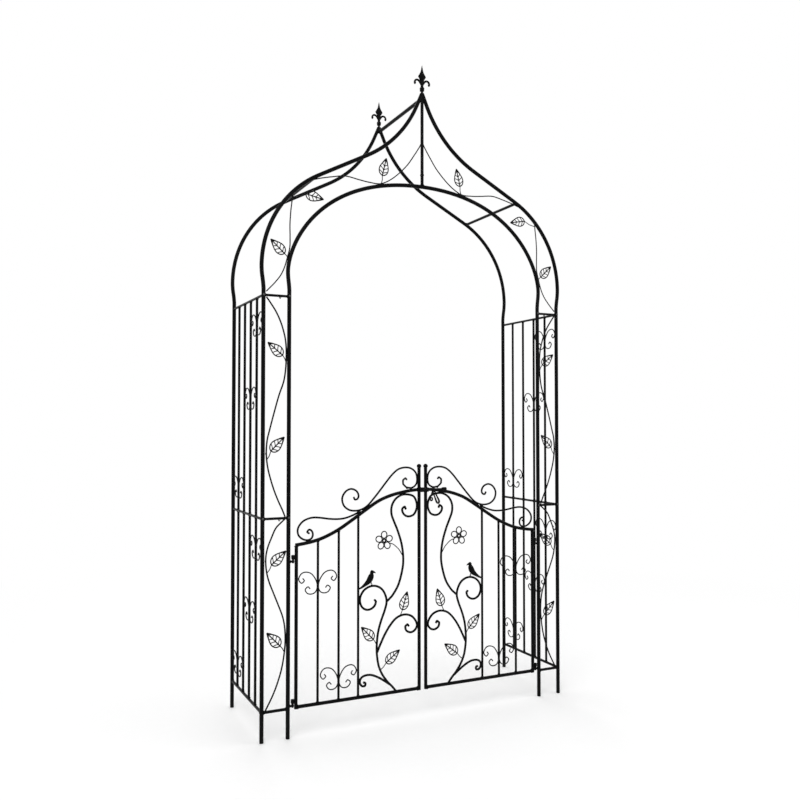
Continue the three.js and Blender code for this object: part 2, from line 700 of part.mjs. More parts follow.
function latchBolt() {
  const tip = boltTipInset;
  const end = tip + boltLength;
  const line = (from, to, radius) => rod([from, boltY, latchHeight], [to, boltY, latchHeight], radius, tubeSides);
  const knob = line(end - boltRadius, end + knobLength, knobRadius);
  const collar = line(collarReach - collarLength / 2, collarReach + collarLength / 2, collarRadius);
  const ring = (inset) => bothSides(handleEdgeShares.map(([far, out]) => [
    inset + far * (handleLength - inset * 2), out * (handleWidth / 2 - inset)]));
  const handle = plate(ring(0), handleWire, [ring(handleWire)])
    .rotate([0, -handleDegrees, 0]).translate([collarReach, 0, latchHeight - boltRadius]);
  const curl = wire(curlLineShares.map(([left, down]) => (
    [collarReach - left * curlReach, 0, latchHeight - down * curlDrop])), curlWireRadius);
  const hanging = handle.add(curl).translate([0, boltY, 0]);
  return join(line(tip, end, boltRadius), knob, collar, hanging);
}

// Black powder-coated steel
const steel = new THREE.MeshStandardMaterial({ color: 0x121314, roughness: 0.42, metalness: 0.55 });
const castIron = new THREE.MeshStandardMaterial({ color: 0x141414, roughness: 0.55, metalness: 0.5 });

function piece(name, body, material = steel) {
  const mesh = body.getMesh();
  const geometry = new THREE.BufferGeometry();
  geometry.setAttribute('position', new THREE.BufferAttribute(new Float32Array(mesh.vertProperties), 3));
  geometry.setIndex(new THREE.BufferAttribute(new Uint32Array(mesh.triVerts), 1));
  geometry.computeVertexNormals();
  const node = new THREE.Mesh(geometry, material);
  node.name = name;
  return node;
}

const group = new THREE.Group();
const front = new THREE.Group();
const back = new THREE.Group();
front.position.y = frontY;
back.position.y = backY;
group.add(front, back);

function pair(owner, name, body, material) {
  owner.add(piece(name.replace('SIDE', 'left'), body, material));
  owner.add(piece(name.replace('SIDE', 'right'), mirrored(body), material));
}

// Legs
const lowerTube = lowerLeg();
const upperTube = upperLeg();
const legPlaces = [
  ['front_left_outer', -outerLegHalf, front], ['front_left_inner', -innerLegHalf, front],
  ['front_right_inner', innerLegHalf, front], ['front_right_outer', outerLegHalf, front],
  ['back_left', -outerLegHalf, back], ['back_right', outerLegHalf, back],
];
for (const [place, x, owner] of legPlaces) {
  for (const [part, tube] of [['lower', lowerTube], ['upper', upperTube]]) {
    const leg = piece(`${part}_leg_${place}`, tube);
    leg.position.x = x;
    owner.add(leg);
  }
}

// Arches and the bars that tie them
pair(front, 'front_arch_SIDE', ogeeTube());
pair(back, 'back_arch_SIDE', ogeeTube());
const innerSpigots = spigot(-innerLegHalf, topSeam).add(spigot(innerLegHalf, topSeam));
front.add(piece('inner_arch', innerArch(tubeRadius).add(innerSpigots)));
front.add(piece('king_post', cope(kingPost(kingPostRadius), innerCutter, ogeeCutter, mirrored(ogeeCutter))));
const tieReach = frameDepth / 2 - tubeRadius - gap;
const ridgeHeight = apexHeight - ridgeDrop;
group.add(piece('ridge_bar', rod([0, -tieReach, ridgeHeight], [0, tieReach, ridgeHeight], ridgeRadius, tubeSides)));
pair(group, 'haunch_bar_SIDE', rod([haunchPlace[0], -tieReach, haunchPlace[1]],
  [haunchPlace[0], tieReach, haunchPlace[1]], haunchRadius));

// Side grilles
for (const [side, x] of [['left', -outerLegHalf], ['right', outerLegHalf]]) {
  for (const [part, grille] of [['lower', lowerSide], ['upper', upperSide]]) {
    const mesh = piece(`side_grille_${part}_${side}`, grille);
    mesh.position.x = x;
    group.add(mesh);
  }
}

// Vine panels, arch vines, finials and hinge pins
pair(front, 'vine_panel_lower_SIDE', lowerPanel);
pair(front, 'vine_panel_upper_SIDE', upperPanel);
pair(front, 'arch_vine_lower_SIDE', lowArchVine);
pair(front, 'arch_vine_upper_SIDE', highArchVine);
front.add(piece('finial_front', finial(), castIron));
back.add(piece('finial_back', finial(), castIron));
pair(front, 'hinge_pin_lower_SIDE', hingePin(lowerHingeShare));
pair(front, 'hinge_pin_upper_SIDE', hingePin(upperHingeShare));

// Gate leaves
pair(front, 'SIDE_gate_hinge_stile', hingeStile());
pair(front, 'SIDE_gate_meeting_stile', meetingStile(0));
pair(front, 'SIDE_gate_bottom_rail', gateBottomRail(stileRadius));
pair(front, 'SIDE_gate_top_rail', cope(gateTopRail(stileRadius),
  rod([-meetingHalf, 0, stileFoot], [-meetingHalf, 0, ballHeight], stileRadius + gap, tubeSides)));
pair(front, 'SIDE_gate_bar_outer', scrolledBar(0));
pair(front, 'SIDE_gate_bar_middle', scrolledBar(1));
pair(front, 'SIDE_gate_bar_inner', scrolledBar(2));
pair(front, 'SIDE_gate_crest', crest());
pair(front, 'SIDE_gate_vine', gateVine());

// Latch
front.add(piece('latch_guide', latchLoop()));
front.add(piece('latch_keeper', mirrored(latchLoop())));
front.add(piece('latch_bolt', latchBolt()));

export default group;
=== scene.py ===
import math
import bmesh
import bpy
import numpy
from mathutils import Matrix, Vector


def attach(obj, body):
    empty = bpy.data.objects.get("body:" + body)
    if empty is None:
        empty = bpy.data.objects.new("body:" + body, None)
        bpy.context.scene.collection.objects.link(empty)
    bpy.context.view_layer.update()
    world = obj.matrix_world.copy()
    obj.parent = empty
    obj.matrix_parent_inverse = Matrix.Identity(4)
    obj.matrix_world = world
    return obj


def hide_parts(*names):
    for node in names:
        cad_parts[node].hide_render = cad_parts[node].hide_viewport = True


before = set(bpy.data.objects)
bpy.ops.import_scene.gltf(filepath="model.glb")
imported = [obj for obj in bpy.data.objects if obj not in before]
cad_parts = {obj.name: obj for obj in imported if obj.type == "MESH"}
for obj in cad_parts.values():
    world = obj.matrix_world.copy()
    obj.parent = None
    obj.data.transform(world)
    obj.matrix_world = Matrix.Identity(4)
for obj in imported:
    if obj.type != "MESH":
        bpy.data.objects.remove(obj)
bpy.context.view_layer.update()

print("frame loaded")

mm = 0.001
gap = 0.3  # between pieces that sit against each other
sides = {"left": -1, "right": 1}

# sizes of the standing frame, in millimetres; a rail is its height and its radius
archFrame = {
    "depth": 384.5, "innerLegHalf": 502.5, "panelWidth": 89.5, "tubeRadius": 7, "seamRise": 12,
    "rails": [(98, 5), (730, 4.4), (1473, 4.4)],
}
wire = {"vine": 2.1, "panelVine": 2.7, "scroll": 3.4, "branch": 4.0, "stalk": 1.7}  # radii

tubeRadius = archFrame["tubeRadius"]
frontY, backY = -archFrame["depth"] / 2, archFrame["depth"] / 2
innerX = archFrame["innerLegHalf"]
outerX = innerX + archFrame["panelWidth"]
lowRail, midRail, topRail = archFrame["rails"]
midSeam, topSeam = [rail[0] + archFrame["seamRise"] for rail in (midRail, topRail)]
storeys = {  # low end, high end and the rails that belong to it
    "lower": (lowRail[0], midRail[0], [lowRail, midRail]),
    "upper": (midRail[0], topRail[0], [topRail]),
}


# nodes of shaders and of geometry
class Value:
    # a socket of a node; used in a sum, it adds Math nodes
    def __init__(self, nodes, socket):
        self.nodes, self.socket = nodes, socket

    def __add__(self, other):
        return self.nodes.math("ADD", self, other)

    def __mul__(self, other):
        return self.nodes.math("MULTIPLY", self, other)


class Nodes:
    def __init__(self, tree):
        self.tree = tree
        tree.nodes.clear()

    def node(self, kind, settings, inputs, output=0):
        made = self.tree.nodes.new(kind)
        for key, setting in settings.items():
            setattr(made, key, setting)
        for key, given in enumerate(inputs) if isinstance(inputs, list) else inputs.items():
            if isinstance(given, Value):
                self.tree.links.new(given.socket, made.inputs[key])
            else:
                made.inputs[key].default_value = given
        return Value(self, made.outputs[output]) if made.outputs else None

    def math(self, operation, first, second):
        return self.node("ShaderNodeMath", {"operation": operation}, [first, second])

    def mix(self, share, first, second):
        return self.node("ShaderNodeMix", {"data_type": "RGBA"}, {0: share, 6: first, 7: second}, 2)

    def place(self):
        return self.node("ShaderNodeMapping", {}, [self.node("ShaderNodeTexCoord", {}, {}, "Object")])

    def noise(self, where, scale, detail, rough=0.5):
        return self.node("ShaderNodeTexNoise", {}, {
            "Vector": where, "Scale": scale, "Detail": detail, "Roughness": rough})

    def band(self, value, low, high):
        return self.node("ShaderNodeMapRange", {}, [value, low, high, 0.0, 1.0])

    def bump(self, strength, distance, height):
        return self.node("ShaderNodeBump", {}, {"Strength": strength, "Distance": distance, "Height": height})

    def surface(self, inputs):
        self.node("ShaderNodeOutputMaterial", {}, [self.node("ShaderNodeBsdfPrincipled", {}, inputs)])

    def attribute(self, label, kind):
        return self.node("GeometryNodeInputNamedAttribute", {"data_type": kind}, {"Name": label}, "Attribute")


def newFinish(name):
    made = bpy.data.materials.new(name)
    made.use_nodes = True
    return made, Nodes(made.node_tree)


# finishes
coat = {
    "black": (0.0015, 0.0016, 0.0018, 1), "worn": (0.004, 0.0042, 0.0046, 1), "shine": 0.05,
    "cloudScale": 9, "clouds": (0.48, 0.72), "speckScale": 260, "peelScale": 620, "peelShare": 0.7,
    "dust": (0.035, 0.033, 0.03, 1), "dustTop": 0.1, "dustSpecks": (0.42, 0.7), "dustShare": 0.25,
    "dustRough": 0.5, "steel": (0.33, 0.325, 0.315, 1), "scuffs": (0.66, 0.7), "grainScale": 180,
    "reliefDepth": 0.0004, "scuffSpeck": 0.6, "scuffSpread": 0.5, "scuffGain": 5, "roughCast": 0.5,
}


def powderCoat(name, roughLow, roughHigh, peel, wear=0.0, grain=0.0):
    finish, made = newFinish(name)
    where = made.place()
    clouds = made.noise(where, coat["cloudScale"], 4.0)
    speck = made.noise(where, coat["speckScale"], 2.0, 0.6)
    orangePeel = made.noise(where, coat["peelScale"], 2.0, 0.45)
    height = made.node("ShaderNodeSeparateXYZ", {}, [where], "Z")
    low = made.band(height, coat["dustTop"], 0.0)  # more of it nearer the ground
    dust = low * made.band(speck, *coat["dustSpecks"]) * coat["dustShare"]
    thin = made.band(clouds, *coat["clouds"])
    tint = made.mix(dust, made.mix(thin, coat["black"], coat["worn"]), coat["dust"])
    if wear:
        scuffLow, scuffHigh = coat["scuffs"]
        worn = speck * coat["scuffSpeck"] + clouds * (1 - coat["scuffSpeck"])
        scuff = made.band(worn, scuffLow - wear, scuffHigh - wear * coat["scuffSpread"])
        tint = made.mix(scuff * min(1.0, wear * coat["scuffGain"]), tint, coat["steel"])
    relief = orangePeel * coat["peelShare"] + speck * (1 - coat["peelShare"])
    if grain:
        relief = relief * coat["roughCast"] + made.noise(where, coat["grainScale"], 5.0, 0.62) * grain
    made.surface({
        "Base Color": tint, "Metallic": 0.0, "IOR": 1.5, "Specular IOR Level": coat["shine"],
        "Roughness": thin * (roughHigh - roughLow) + roughLow + dust * coat["dustRough"],
        "Normal": made.bump(peel, coat["reliefDepth"], relief)})
    return finish


screwCoat = {
    "dark": (0.05, 0.05, 0.052, 1), "bright": (0.13, 0.128, 0.125, 1), "spotScale": 420,
    "spots": (0.4, 0.7), "roughLow": 0.28, "roughRange": 0.25, "relief": 0.3, "reliefDepth": 0.0002,
}


def screwFinish(name):
    finish, made = newFinish(name)
    spots = made.noise(made.place(), screwCoat["spotScale"], 3.0)
    made.surface({
        "Base Color": made.mix(made.band(spots, *screwCoat["spots"]), screwCoat["dark"], screwCoat["bright"]),
        "Metallic": 0.9, "Roughness": spots * screwCoat["roughRange"] + screwCoat["roughLow"],
        "Normal": made.bump(screwCoat["relief"], screwCoat["reliefDepth"], spots)})
    return finish


finishes = {
    "frame_steel": powderCoat("satinBlackTube", 0.3, 0.46, 0.18),
    "ornament_steel": powderCoat("satinBlackWire", 0.34, 0.5, 0.2),
    "finial_iron": powderCoat("blackCasting", 0.42, 0.6, 0.7, wear=0.01, grain=0.8),
    "latch_steel": powderCoat("blackLatch", 0.3, 0.48, 0.4, wear=0.05),
    "screw": screwFinish("blackenedScrew"),
}
print("finishes made")


# geometry node trees
def newTree(name, *inputs):
    tree = bpy.data.node_groups.new(name, "GeometryNodeTree")
    for label, kind in (("Geometry", "Geometry"), *inputs, ("Finish", "Material")):
        tree.interface.new_socket(label, in_out="INPUT", socket_type="NodeSocket" + kind)
    tree.interface.new_socket("Geometry", in_out="OUTPUT", socket_type="NodeSocketGeometry")
    made = Nodes(tree)
    start = tree.nodes.new("NodeGroupInput")
    return made, {socket.name: Value(made, socket) for socket in start.outputs}


def closeTree(made, shape, given):
    shape = made.node("GeometryNodeRealizeInstances", {}, [shape])
    shape = made.node("GeometryNodeSetMaterial", {}, {"Geometry": shape, "Material": given["Finish"]})
    made.node("NodeGroupOutput", {}, [shape])
    return made.tree


def makeRodTree():
    # a round rod along every chain of edges, as thick as the points say
    made, given = newTree("rodAlongPath", ("Sides", "Int"), ("Smoothness", "Int"))
    radius = made.attribute("rodRadius", "FLOAT")
    curve = made.node("GeometryNodeMeshToCurve", {}, [given["Geometry"]])
    curve = made.node("GeometryNodeCurveSplineType", {"spline_type": "CATMULL_ROM"}, [curve])
    curve = made.node("GeometryNodeSetSplineResolution", {}, {0: curve, "Resolution": given["Smoothness"]})
    curve = made.node("GeometryNodeSetCurveRadius", {}, {0: curve, "Radius": radius})
    ring = made.node("GeometryNodeCurvePrimitiveCircle", {}, {"Resolution": given["Sides"], "Radius": 1.0})
    rod = made.node("GeometryNodeCurveToMesh", {}, {
        "Curve": curve, "Profile Curve": ring, "Scale": radius, "Fill Caps": True})
    return closeTree(made, rod, given)


def makePartTree():
    # one small part on every point, its axis along the point's aim and its size from the point
    made, given = newTree("partsOnPoints", ("Part", "Object"), ("Spin Seed", "Int"))
    source = made.node("GeometryNodeObjectInfo", {}, {"Object": given["Part"]}, "Geometry")
    points = made.node("GeometryNodeMeshToPoints", {}, [given["Geometry"]])
    aim, size = made.attribute("aim", "FLOAT_VECTOR"), made.attribute("partSize", "FLOAT_VECTOR")
    align = made.node("FunctionNodeAlignRotationToVector", {"axis": "Z"}, {"Vector": aim})
    spin = made.node("FunctionNodeRandomValue", {}, {3: 2 * math.pi, "Seed": given["Spin Seed"]}, 1)
    turn = made.node("FunctionNodeAxisAngleToRotation", {}, {"Axis": (0, 0, 1), "Angle": spin})
    both = made.node("FunctionNodeRotateRotation", {"rotation_space": "LOCAL"}, [align, turn])
    copies = made.node("GeometryNodeInstanceOnPoints", {}, {
        "Points": points, "Instance": source, "Rotation": both, "Scale": size})
    return closeTree(made, copies, given)


rodTree = makeRodTree()
partTree = makePartTree()


def linked(name, data):
    made = bpy.data.objects.new(name, data)
    bpy.context.scene.collection.objects.link(made)
    return made


def grown(tree, points, edges, layers, settings):
    # what a tree makes on a bare mesh whose points carry numbers for it
    mesh = bpy.data.meshes.new("carrier")
    mesh.from_pydata([Vector(point) * mm for point in points], edges, [])
    for label, numbers in layers:
        single = len(numbers) == len(points)
        layer = mesh.attributes.new(label, "FLOAT" if single else "FLOAT_VECTOR", "POINT")
        layer.data.foreach_set("value" if single else "vector", numbers)
    carrier = linked("carrier", mesh)
    modifier = carrier.modifiers.new("shape", "NODES")
    modifier.node_group = tree
    for item in tree.interface.items_tree:
        if item.in_out == "INPUT" and item.name in settings:
            modifier[item.identifier] = settings[item.name]
    carrier.update_tag()
    graph = bpy.context.evaluated_depsgraph_get()
    made = bpy.data.meshes.new_from_object(carrier.evaluated_get(graph))
    carrier.modifiers.remove(modifier)
    bpy.data.objects.remove(carrier)
    return made


# strands: chains of points with a thickness at each
def spaced(place):
    # a place of two numbers lies in the front plane
    return Vector(place if len(place) == 3 else (place[0], frontY, place[1]))


def strand(points, radius, closed=False, taper=True, toPlace=lambda *point: point):
    points = [spaced(toPlace(*point)) for point in points]
    radii = list(radius) if isinstance(radius, list) else [radius] * len(points)
    return {"points": points, "radii": radii, "closed": closed, "taper": taper}


def blade(toPlace, edge, radius, tipGain, tipStart=0.8):
    # a closed wire drawn by one of its edges, thicker at the tip
    outline = edge + [(far, -out) for far, out in reversed(edge[:-1])]
    girths = [radius * (tipGain if far > tipStart else 1) for far, out in outline]
    return strand(outline, girths, closed=True, toPlace=toPlace)


def between(points, low, share):
    # a place between two neighbours, on a curve that allows for uneven steps
    first, second = points[low], points[low + 1]
    row = [points[low - 1] if low else first * 2 - second, first, second,
           points[low + 2] if low + 2 < len(points) else second * 2 - first]
    times = [0.0]
    for start, stop in zip(row, row[1:]):
        times.append(times[-1] + math.sqrt((stop - start).length))
    now = times[1] + (times[2] - times[1]) * share

    def blend(places, offset, reach):
        spans = [(times[step], times[step + reach]) for step in range(offset, offset + len(places) - 1)]
        return [place.lerp(following, (now - start) / (stop - start))
                for place, following, (start, stop) in zip(places, places[1:], spans)]
    return blend(blend(blend(row, 0, 1), 0, 2), 1, 1)[0]


def evenSteps(points, radii):
    # a long step beside a short one is split, because the rounded curve would fold there
    step, limit, split = 0, 4, 3  # the most that a step may hold its neighbour, and where it is split
    while step < len(points) - 2:
        first, second = [(points[step + ahead + 1] - points[step + ahead]).length for ahead in (0, 1)]
        if max(first, second) <= limit * min(first, second):
            step += 1
            continue
        low = step if first > second else step + 1
        share = 1 - split * second / first if first > second else split * first / second
        points.insert(low + 1, between(points, low, share))
        radii.insert(low + 1, radii[low] + (radii[low + 1] - radii[low]) * share)
        step = max(step - 1, 0)
    return points, radii


tipRound = [(0.55, 1.0), (0.12, 0.8), (0.0, 0.42)]  # how far back from the tip and how thick, in radii


def roundedEnds(one):
    points, radii = list(one["points"]), list(one["radii"])
    if one["closed"]:
        return points, radii
    for _ in range(2 if one["taper"] else 0):  # one end, then the other
        points.reverse(), radii.reverse()
        tip, radius = points.pop(), radii.pop()
        way = (tip - points[-1]).normalized()
        points += [tip - way * radius * back for back, girth in tipRound]
        radii += [radius * girth for back, girth in tipRound]
    return evenSteps(points, radii)


# sides of the section, and steps from point to point, of each kind of rod
facets = {
    "arch": (28, 3), "ridge": (20, 1), "stub": (18, 1), "bar": (16, 1), "bottomRail": (24, 1),
    "topRail": (24, 6), "wire": (10, 5), "vine": (10, 6), "scroll": (12, 6), "curl": (14, 5),
    "leaf": (8, 4), "flower": (10, 4), "bird": (18, 6), "birdLeg": (8, 3),
}


def rods(strands, kind, sign=sides["left"]):
    # strands are drawn for the left side, and the right side has their mirror images
    points, radii, edges = [], [], []
    for one in strands:
        chain, girths = roundedEnds(one)
        first = len(points)
        points += [point * Vector((-sign, 1, 1)) for point in chain]
        radii += [girth * mm for girth in girths]
        edges += [(first + step, first + step + 1) for step in range(len(chain) - 1)]
        if one["closed"]:
            edges.append((len(points) - 1, first))
    count, steps = facets[kind]
    return grown(rodTree, points, edges, [("rodRadius", radii)], {
        "Sides": count, "Smoothness": steps, "Finish": finishes["frame_steel"]})


def straight(start, end, radius, kind="bar"):
    return rods([strand([start, end], radius, taper=False)], kind)


# mesh helpers
roundSides = {
    "leg": 32, "kingPost": 24, "finial": 28, "pin": 28, "eye": 32, "stile": 24, "meetingStile": 28, "bolt": 28,
    "petal": 12, "strap": 16, "ring": 16, "spot": 12, "screw": 18,
}


def circle(count):
    return [2 * math.pi * step / count for step in range(count)]


def closeMesh(shape, name):
    bmesh.ops.recalc_face_normals(shape, faces=shape.faces)
    made = bpy.data.meshes.new(name)
    shape.to_mesh(made)
    shape.free()
    return made


def turned(profile, kind, loop=False):
    # a round body about Z from (radius, height) pairs: from axis to axis, or a closed loop that makes a ring
    shape = bmesh.new()
    rings = []
    for radius, height in profile:
        turns = circle(roundSides[kind]) if radius > 0 else [0]
        rings.append([shape.verts.new((radius * mm * math.cos(turn), radius * mm * math.sin(turn), height * mm))
                      for turn in turns])
    for lower, upper in zip(rings, rings[1:] + (rings[:1] if loop else [])):
        for step in range(max(len(lower), len(upper))):
            corners = [lower[step % len(lower)], lower[(step + 1) % len(lower)],
                       upper[(step + 1) % len(upper)], upper[step % len(upper)]]
            shape.faces.new(list(dict.fromkeys(corners)))
    return closeMesh(shape, "turned")


def lathe(x, y, kind, *levels):
    # an upright turned body, its (radius, rise) pairs given from the nearest of its levels
    profile = [(radius, level + rise) for level, pairs in levels for radius, rise in pairs]
    return moved(turned(profile, kind), x, y)


def moved(mesh, x, y, z=0):
    mesh.transform(Matrix.Translation(Vector((x, y, z)) * mm))
    return mesh


def flat(mesh, share):
    # thinner from front to back
    for vertex in mesh.vertices:
        vertex.co.y = frontY * mm + (vertex.co.y - frontY * mm) * share
    return mesh


pieceCount = 0


def piece(node, ending, meshes, body="frame", slot="frame_steel", finish=None, sharp=38):
    # one piece from its meshes; with an ending to its name, it stands for the CAD node
    global pieceCount
    whole = bmesh.new()
    for mesh in meshes:
        whole.from_mesh(mesh)
    data = bpy.data.meshes.new(node + ending)
    whole.to_mesh(data)
    whole.free()
    data.materials.clear()
    data.materials.append(finishes[finish or slot])
    data.polygons.foreach_set("material_index", [0] * len(data.polygons))
    data.shade_smooth()
    data.set_sharp_from_angle(angle=math.radians(sharp))
    made = linked(node + ending, data)
    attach(made, body)
    if ending:
        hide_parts(node)
    pieceCount += 1


def drawn(place, sign):
    # a place in the front plane, drawn for the left side
    return (-sign * place[0], place[1])


def aside(base, degrees, far, out):
    # a place in the front plane, so far in a direction and so far out to its left
    turn = math.radians(degrees)
    return (base[0] + far * math.cos(turn) - out * math.sin(turn),
            base[1] + far * math.sin(turn) + out * math.cos(turn))


# lines of the arches
ogee = {  # the radii of haunch and neck, and the slopes of shoulder and tip
    "springRise": 83, "flare": 7, "radii": (373, 432), "degrees": (27.6, 66.5), "tipRun": 52, "steps": 24,
    "overrun": 20,
}
innerArch = {
    "springRise": 70, "flare": 5, "crownRise": 352, "haunchPull": 104, "crownPull": 390, "steps": 36,
}
flareEase = [(0.14, 0), (0.42, 0.3), (0.72, 0.8), (1, 1)]  # shares of the rise and of the flare


def flareLine(x, arch):
    # from the seam out to the spring
    return [(-x, topSeam + gap)] + [
        (-x - out * arch["flare"], topSeam + up * arch["springRise"]) for up, out in flareEase]


def ogeeLine():
    shoulder, tip = [math.radians(degrees) for degrees in ogee["degrees"]]
    haunchRadius, neckRadius, steps = *ogee["radii"], ogee["steps"]
    points = flareLine(outerX, ogee)
    springX, springZ = points[-1]
    for step in range(1, steps + 1):
        turn = (math.pi / 2 - shoulder) * step / steps
        points.append((springX + haunchRadius * (1 - math.cos(turn)), springZ + haunchRadius * math.sin(turn)))
    neck = neckRadius * (math.sin(tip) - math.sin(shoulder))
    reach = -points[-1][0] - neck - ogee["tipRun"] * math.cos(tip)
    startX, startZ = points[-1][0] + reach, points[-1][1] + reach * math.tan(shoulder)
    for step in range(steps + 1):
        turn = shoulder + (tip - shoulder) * step / steps
        points.append((startX + neckRadius * (math.sin(turn) - math.sin(shoulder)),
                       startZ + neckRadius * (math.cos(shoulder) - math.cos(turn))))
    return points + [(0.0, points[-1][1] + ogee["tipRun"] * math.sin(tip))]


def innerLine():
    points = flareLine(innerX, innerArch)
    springX, springZ = points[-1]
    top = springZ + innerArch["crownRise"]
    corners = [(springX, springZ), (springX, springZ + innerArch["haunchPull"]),
               (-innerArch["crownPull"], top), (0.0, top)]
    for step in range(1, innerArch["steps"] + 1):
        share = step / innerArch["steps"]
        weights = [(1 - share) ** 3, 3 * share * (1 - share) ** 2, 3 * share ** 2 * (1 - share), share ** 3]
        points.append(tuple(sum(weight * number for weight, number in zip(weights, axis))
                            for axis in zip(*corners)))
    return points


def along(points, share):
    run = numpy.cumsum([0] + [math.dist(first, second) for first, second in zip(points, points[1:])])
    return tuple(numpy.interp(share * run[-1], run, axis) for axis in zip(*points))


ogeePoints, innerPoints = ogeeLine(), innerLine()
apex, crown = ogeePoints[-1][1], innerPoints[-1][1]

# rings and spots of weld on each body: place, direction and size
welds, spots = [{"frame": [], "left_gate": [], "right_gate": []} for _ in range(2)]


def weld(body, place, aim, radius):
    welds[body].append((spaced(place), aim, (radius, radius, radius)))


def weldEnds(body, first, second, radius):
    # a ring at each end of a bar, facing along it
    weld(body, first, spaced(second) - spaced(first), radius)
    weld(body, second, spaced(first) - spaced(second), radius)


def spot(body, place, aim, size):
    spots[body].append((spaced(place), aim, size))


def spotPair(body, place, step, aim, size):
    # a spot on either side of a place
    spot(body, spaced(place) + Vector(step), aim, size)
    spot(body, spaced(place) - Vector(step), aim, size)


# legs
legTube = {
    "lower": [(0, 0), (5.6, 0), (6.6, 0.5), (7, 1.4)],  # a rounded foot
    "upper": [(0, -1.2), (5.8, -1.2), (5.8, 0), (6.5, 0), (7, 0.5)],  # the plug in the tube below
    "top": [(7, -0.5), (6.5, 0), (6, 0), (6, -3), (0, -3)],
}
legs = [("front_left_outer", -outerX, frontY), ("front_left_inner", -innerX, frontY),
        ("front_right_inner", innerX, frontY), ("front_right_outer", outerX, frontY),
        ("back_left", -outerX, backY), ("back_right", outerX, backY)]
for place, x, y in legs:
    for part, low, high in (("lower", 0.0, midSeam), ("upper", midSeam + gap, topSeam)):
        piece(part + "_leg_" + place, "_tube",
              [lathe(x, y, "leg", (low, legTube[part]), (high, legTube["top"]))])
print("legs made")


# arches
def ogeeMesh(y):
    # the left half, run past the apex and then cut at the middle and level with the apex
    points = [Vector((x, y, z)) for x, z in ogeePoints]
    points[-1] += (points[-1] - points[-2]).normalized() * ogee["overrun"]
    cut = bmesh.new()
    cut.from_mesh(rods([strand(points, tubeRadius, taper=False)], "arch"))
    for place, way in (((-gap / 2 * mm, 0, 0), (1, 0, 0)), ((0, 0, apex * mm), (0, 0, 1))):
        bmesh.ops.bisect_plane(cut, geom=cut.verts[:] + cut.edges[:] + cut.faces[:], plane_co=place,
                               plane_no=way, clear_outer=True)
        bmesh.ops.holes_fill(cut, edges=[edge for edge in cut.edges if edge.is_boundary])
    return closeMesh(cut, "ogee")


for label, y in (("front", frontY), ("back", backY)):
    half = ogeeMesh(y)
    piece(label + "_arch_left", "_tube", [half])
    half.transform(Matrix.Diagonal((-1, 1, 1, 1)))
    half.flip_normals()
    piece(label + "_arch_right", "_tube", [half])

innerWhole = innerPoints + [(-x, z) for x, z in reversed(innerPoints[:-1])]
piece("inner_arch", "_tube", [rods([strand(innerWhole, tubeRadius, taper=False)], "arch")])

kingPost = {
    "radius": 5.8, "sink": 0.4, "headDrop": 13, "collarAt": 1950, "foot": [(0, 0), (5.8, 0)],
    "collar": [(5.8, -4), (7.2, -1.5), (7.2, 1.5), (5.8, 4)], "head": [(5.8, 0), (0, 0)],
}
piece("king_post", "_rod", [lathe(
    0, frontY, "kingPost", (crown + tubeRadius - kingPost["sink"], kingPost["foot"]),
    (kingPost["collarAt"], kingPost["collar"]), (apex - kingPost["headDrop"], kingPost["head"]))])
weld("frame", (0, crown + tubeRadius), (0, 0, 1), kingPost["radius"])

crossBars = {"ridgeRadius": 7.0, "ridgeDrop": 20.0, "haunchRadius": 5.6, "haunchShare": 0.461}
tie = backY - tubeRadius - gap


def crossEnds(x, z):
    return (x, -tie, z), (x, tie, z)


ridge = (*crossEnds(0, apex - crossBars["ridgeDrop"]), crossBars["ridgeRadius"])
piece("ridge_bar", "_rod", [straight(*ridge, "ridge")])
haunchX, haunchZ = along(ogeePoints, crossBars["haunchShare"])
for side, sign in sides.items():
    haunch = (*crossEnds(-sign * haunchX, haunchZ), crossBars["haunchRadius"])
    piece("haunch_bar_" + side, "_rod", [straight(*haunch, "stub")])
    weldEnds("frame", *haunch)
weldEnds("frame", *ridge)
print("arches made")

# a pair of scrolls on a bar, like a butterfly
butterfly = {
    "rise": 50,
    "line": [
        (0.79, 0.6), (0.71, 0.42), (0.86, 0.28), (1, 0.56), (0.87, 0.9), (0.63, 1), (0.34, 0.86), (0.11, 0.44),
        (0.03, 0), (0.11, -0.36), (0.31, -0.5), (0.54, -0.44), (0.66, -0.18), (0.52, 0), (0.4, -0.15)],
}


def butterflyStrands(centre, height, halfSpan, toPlace):
    return [strand([(centre + side * out * halfSpan, height + up * butterfly["rise"])
                    for out, up in butterfly["line"]], wire["vine"], toPlace=toPlace) for side in (1, -1)]


# side grilles
sideGrille = {
    "bars": 4, "barRadius": 4.5, "weldRise": 0.8, "spotOut": 3.6, "spotSize": (1.1, 2.2, 1.7),
    "lower": [(1, 0.815), (2, 0.46), (4, 0.106)], "upper": [(1, 0.861), (2, 0.525), (4, 0.097)],
}
pitch = archFrame["depth"] / (sideGrille["bars"] + 1)
sideSpan = pitch - tubeRadius - wire["vine"] - gap


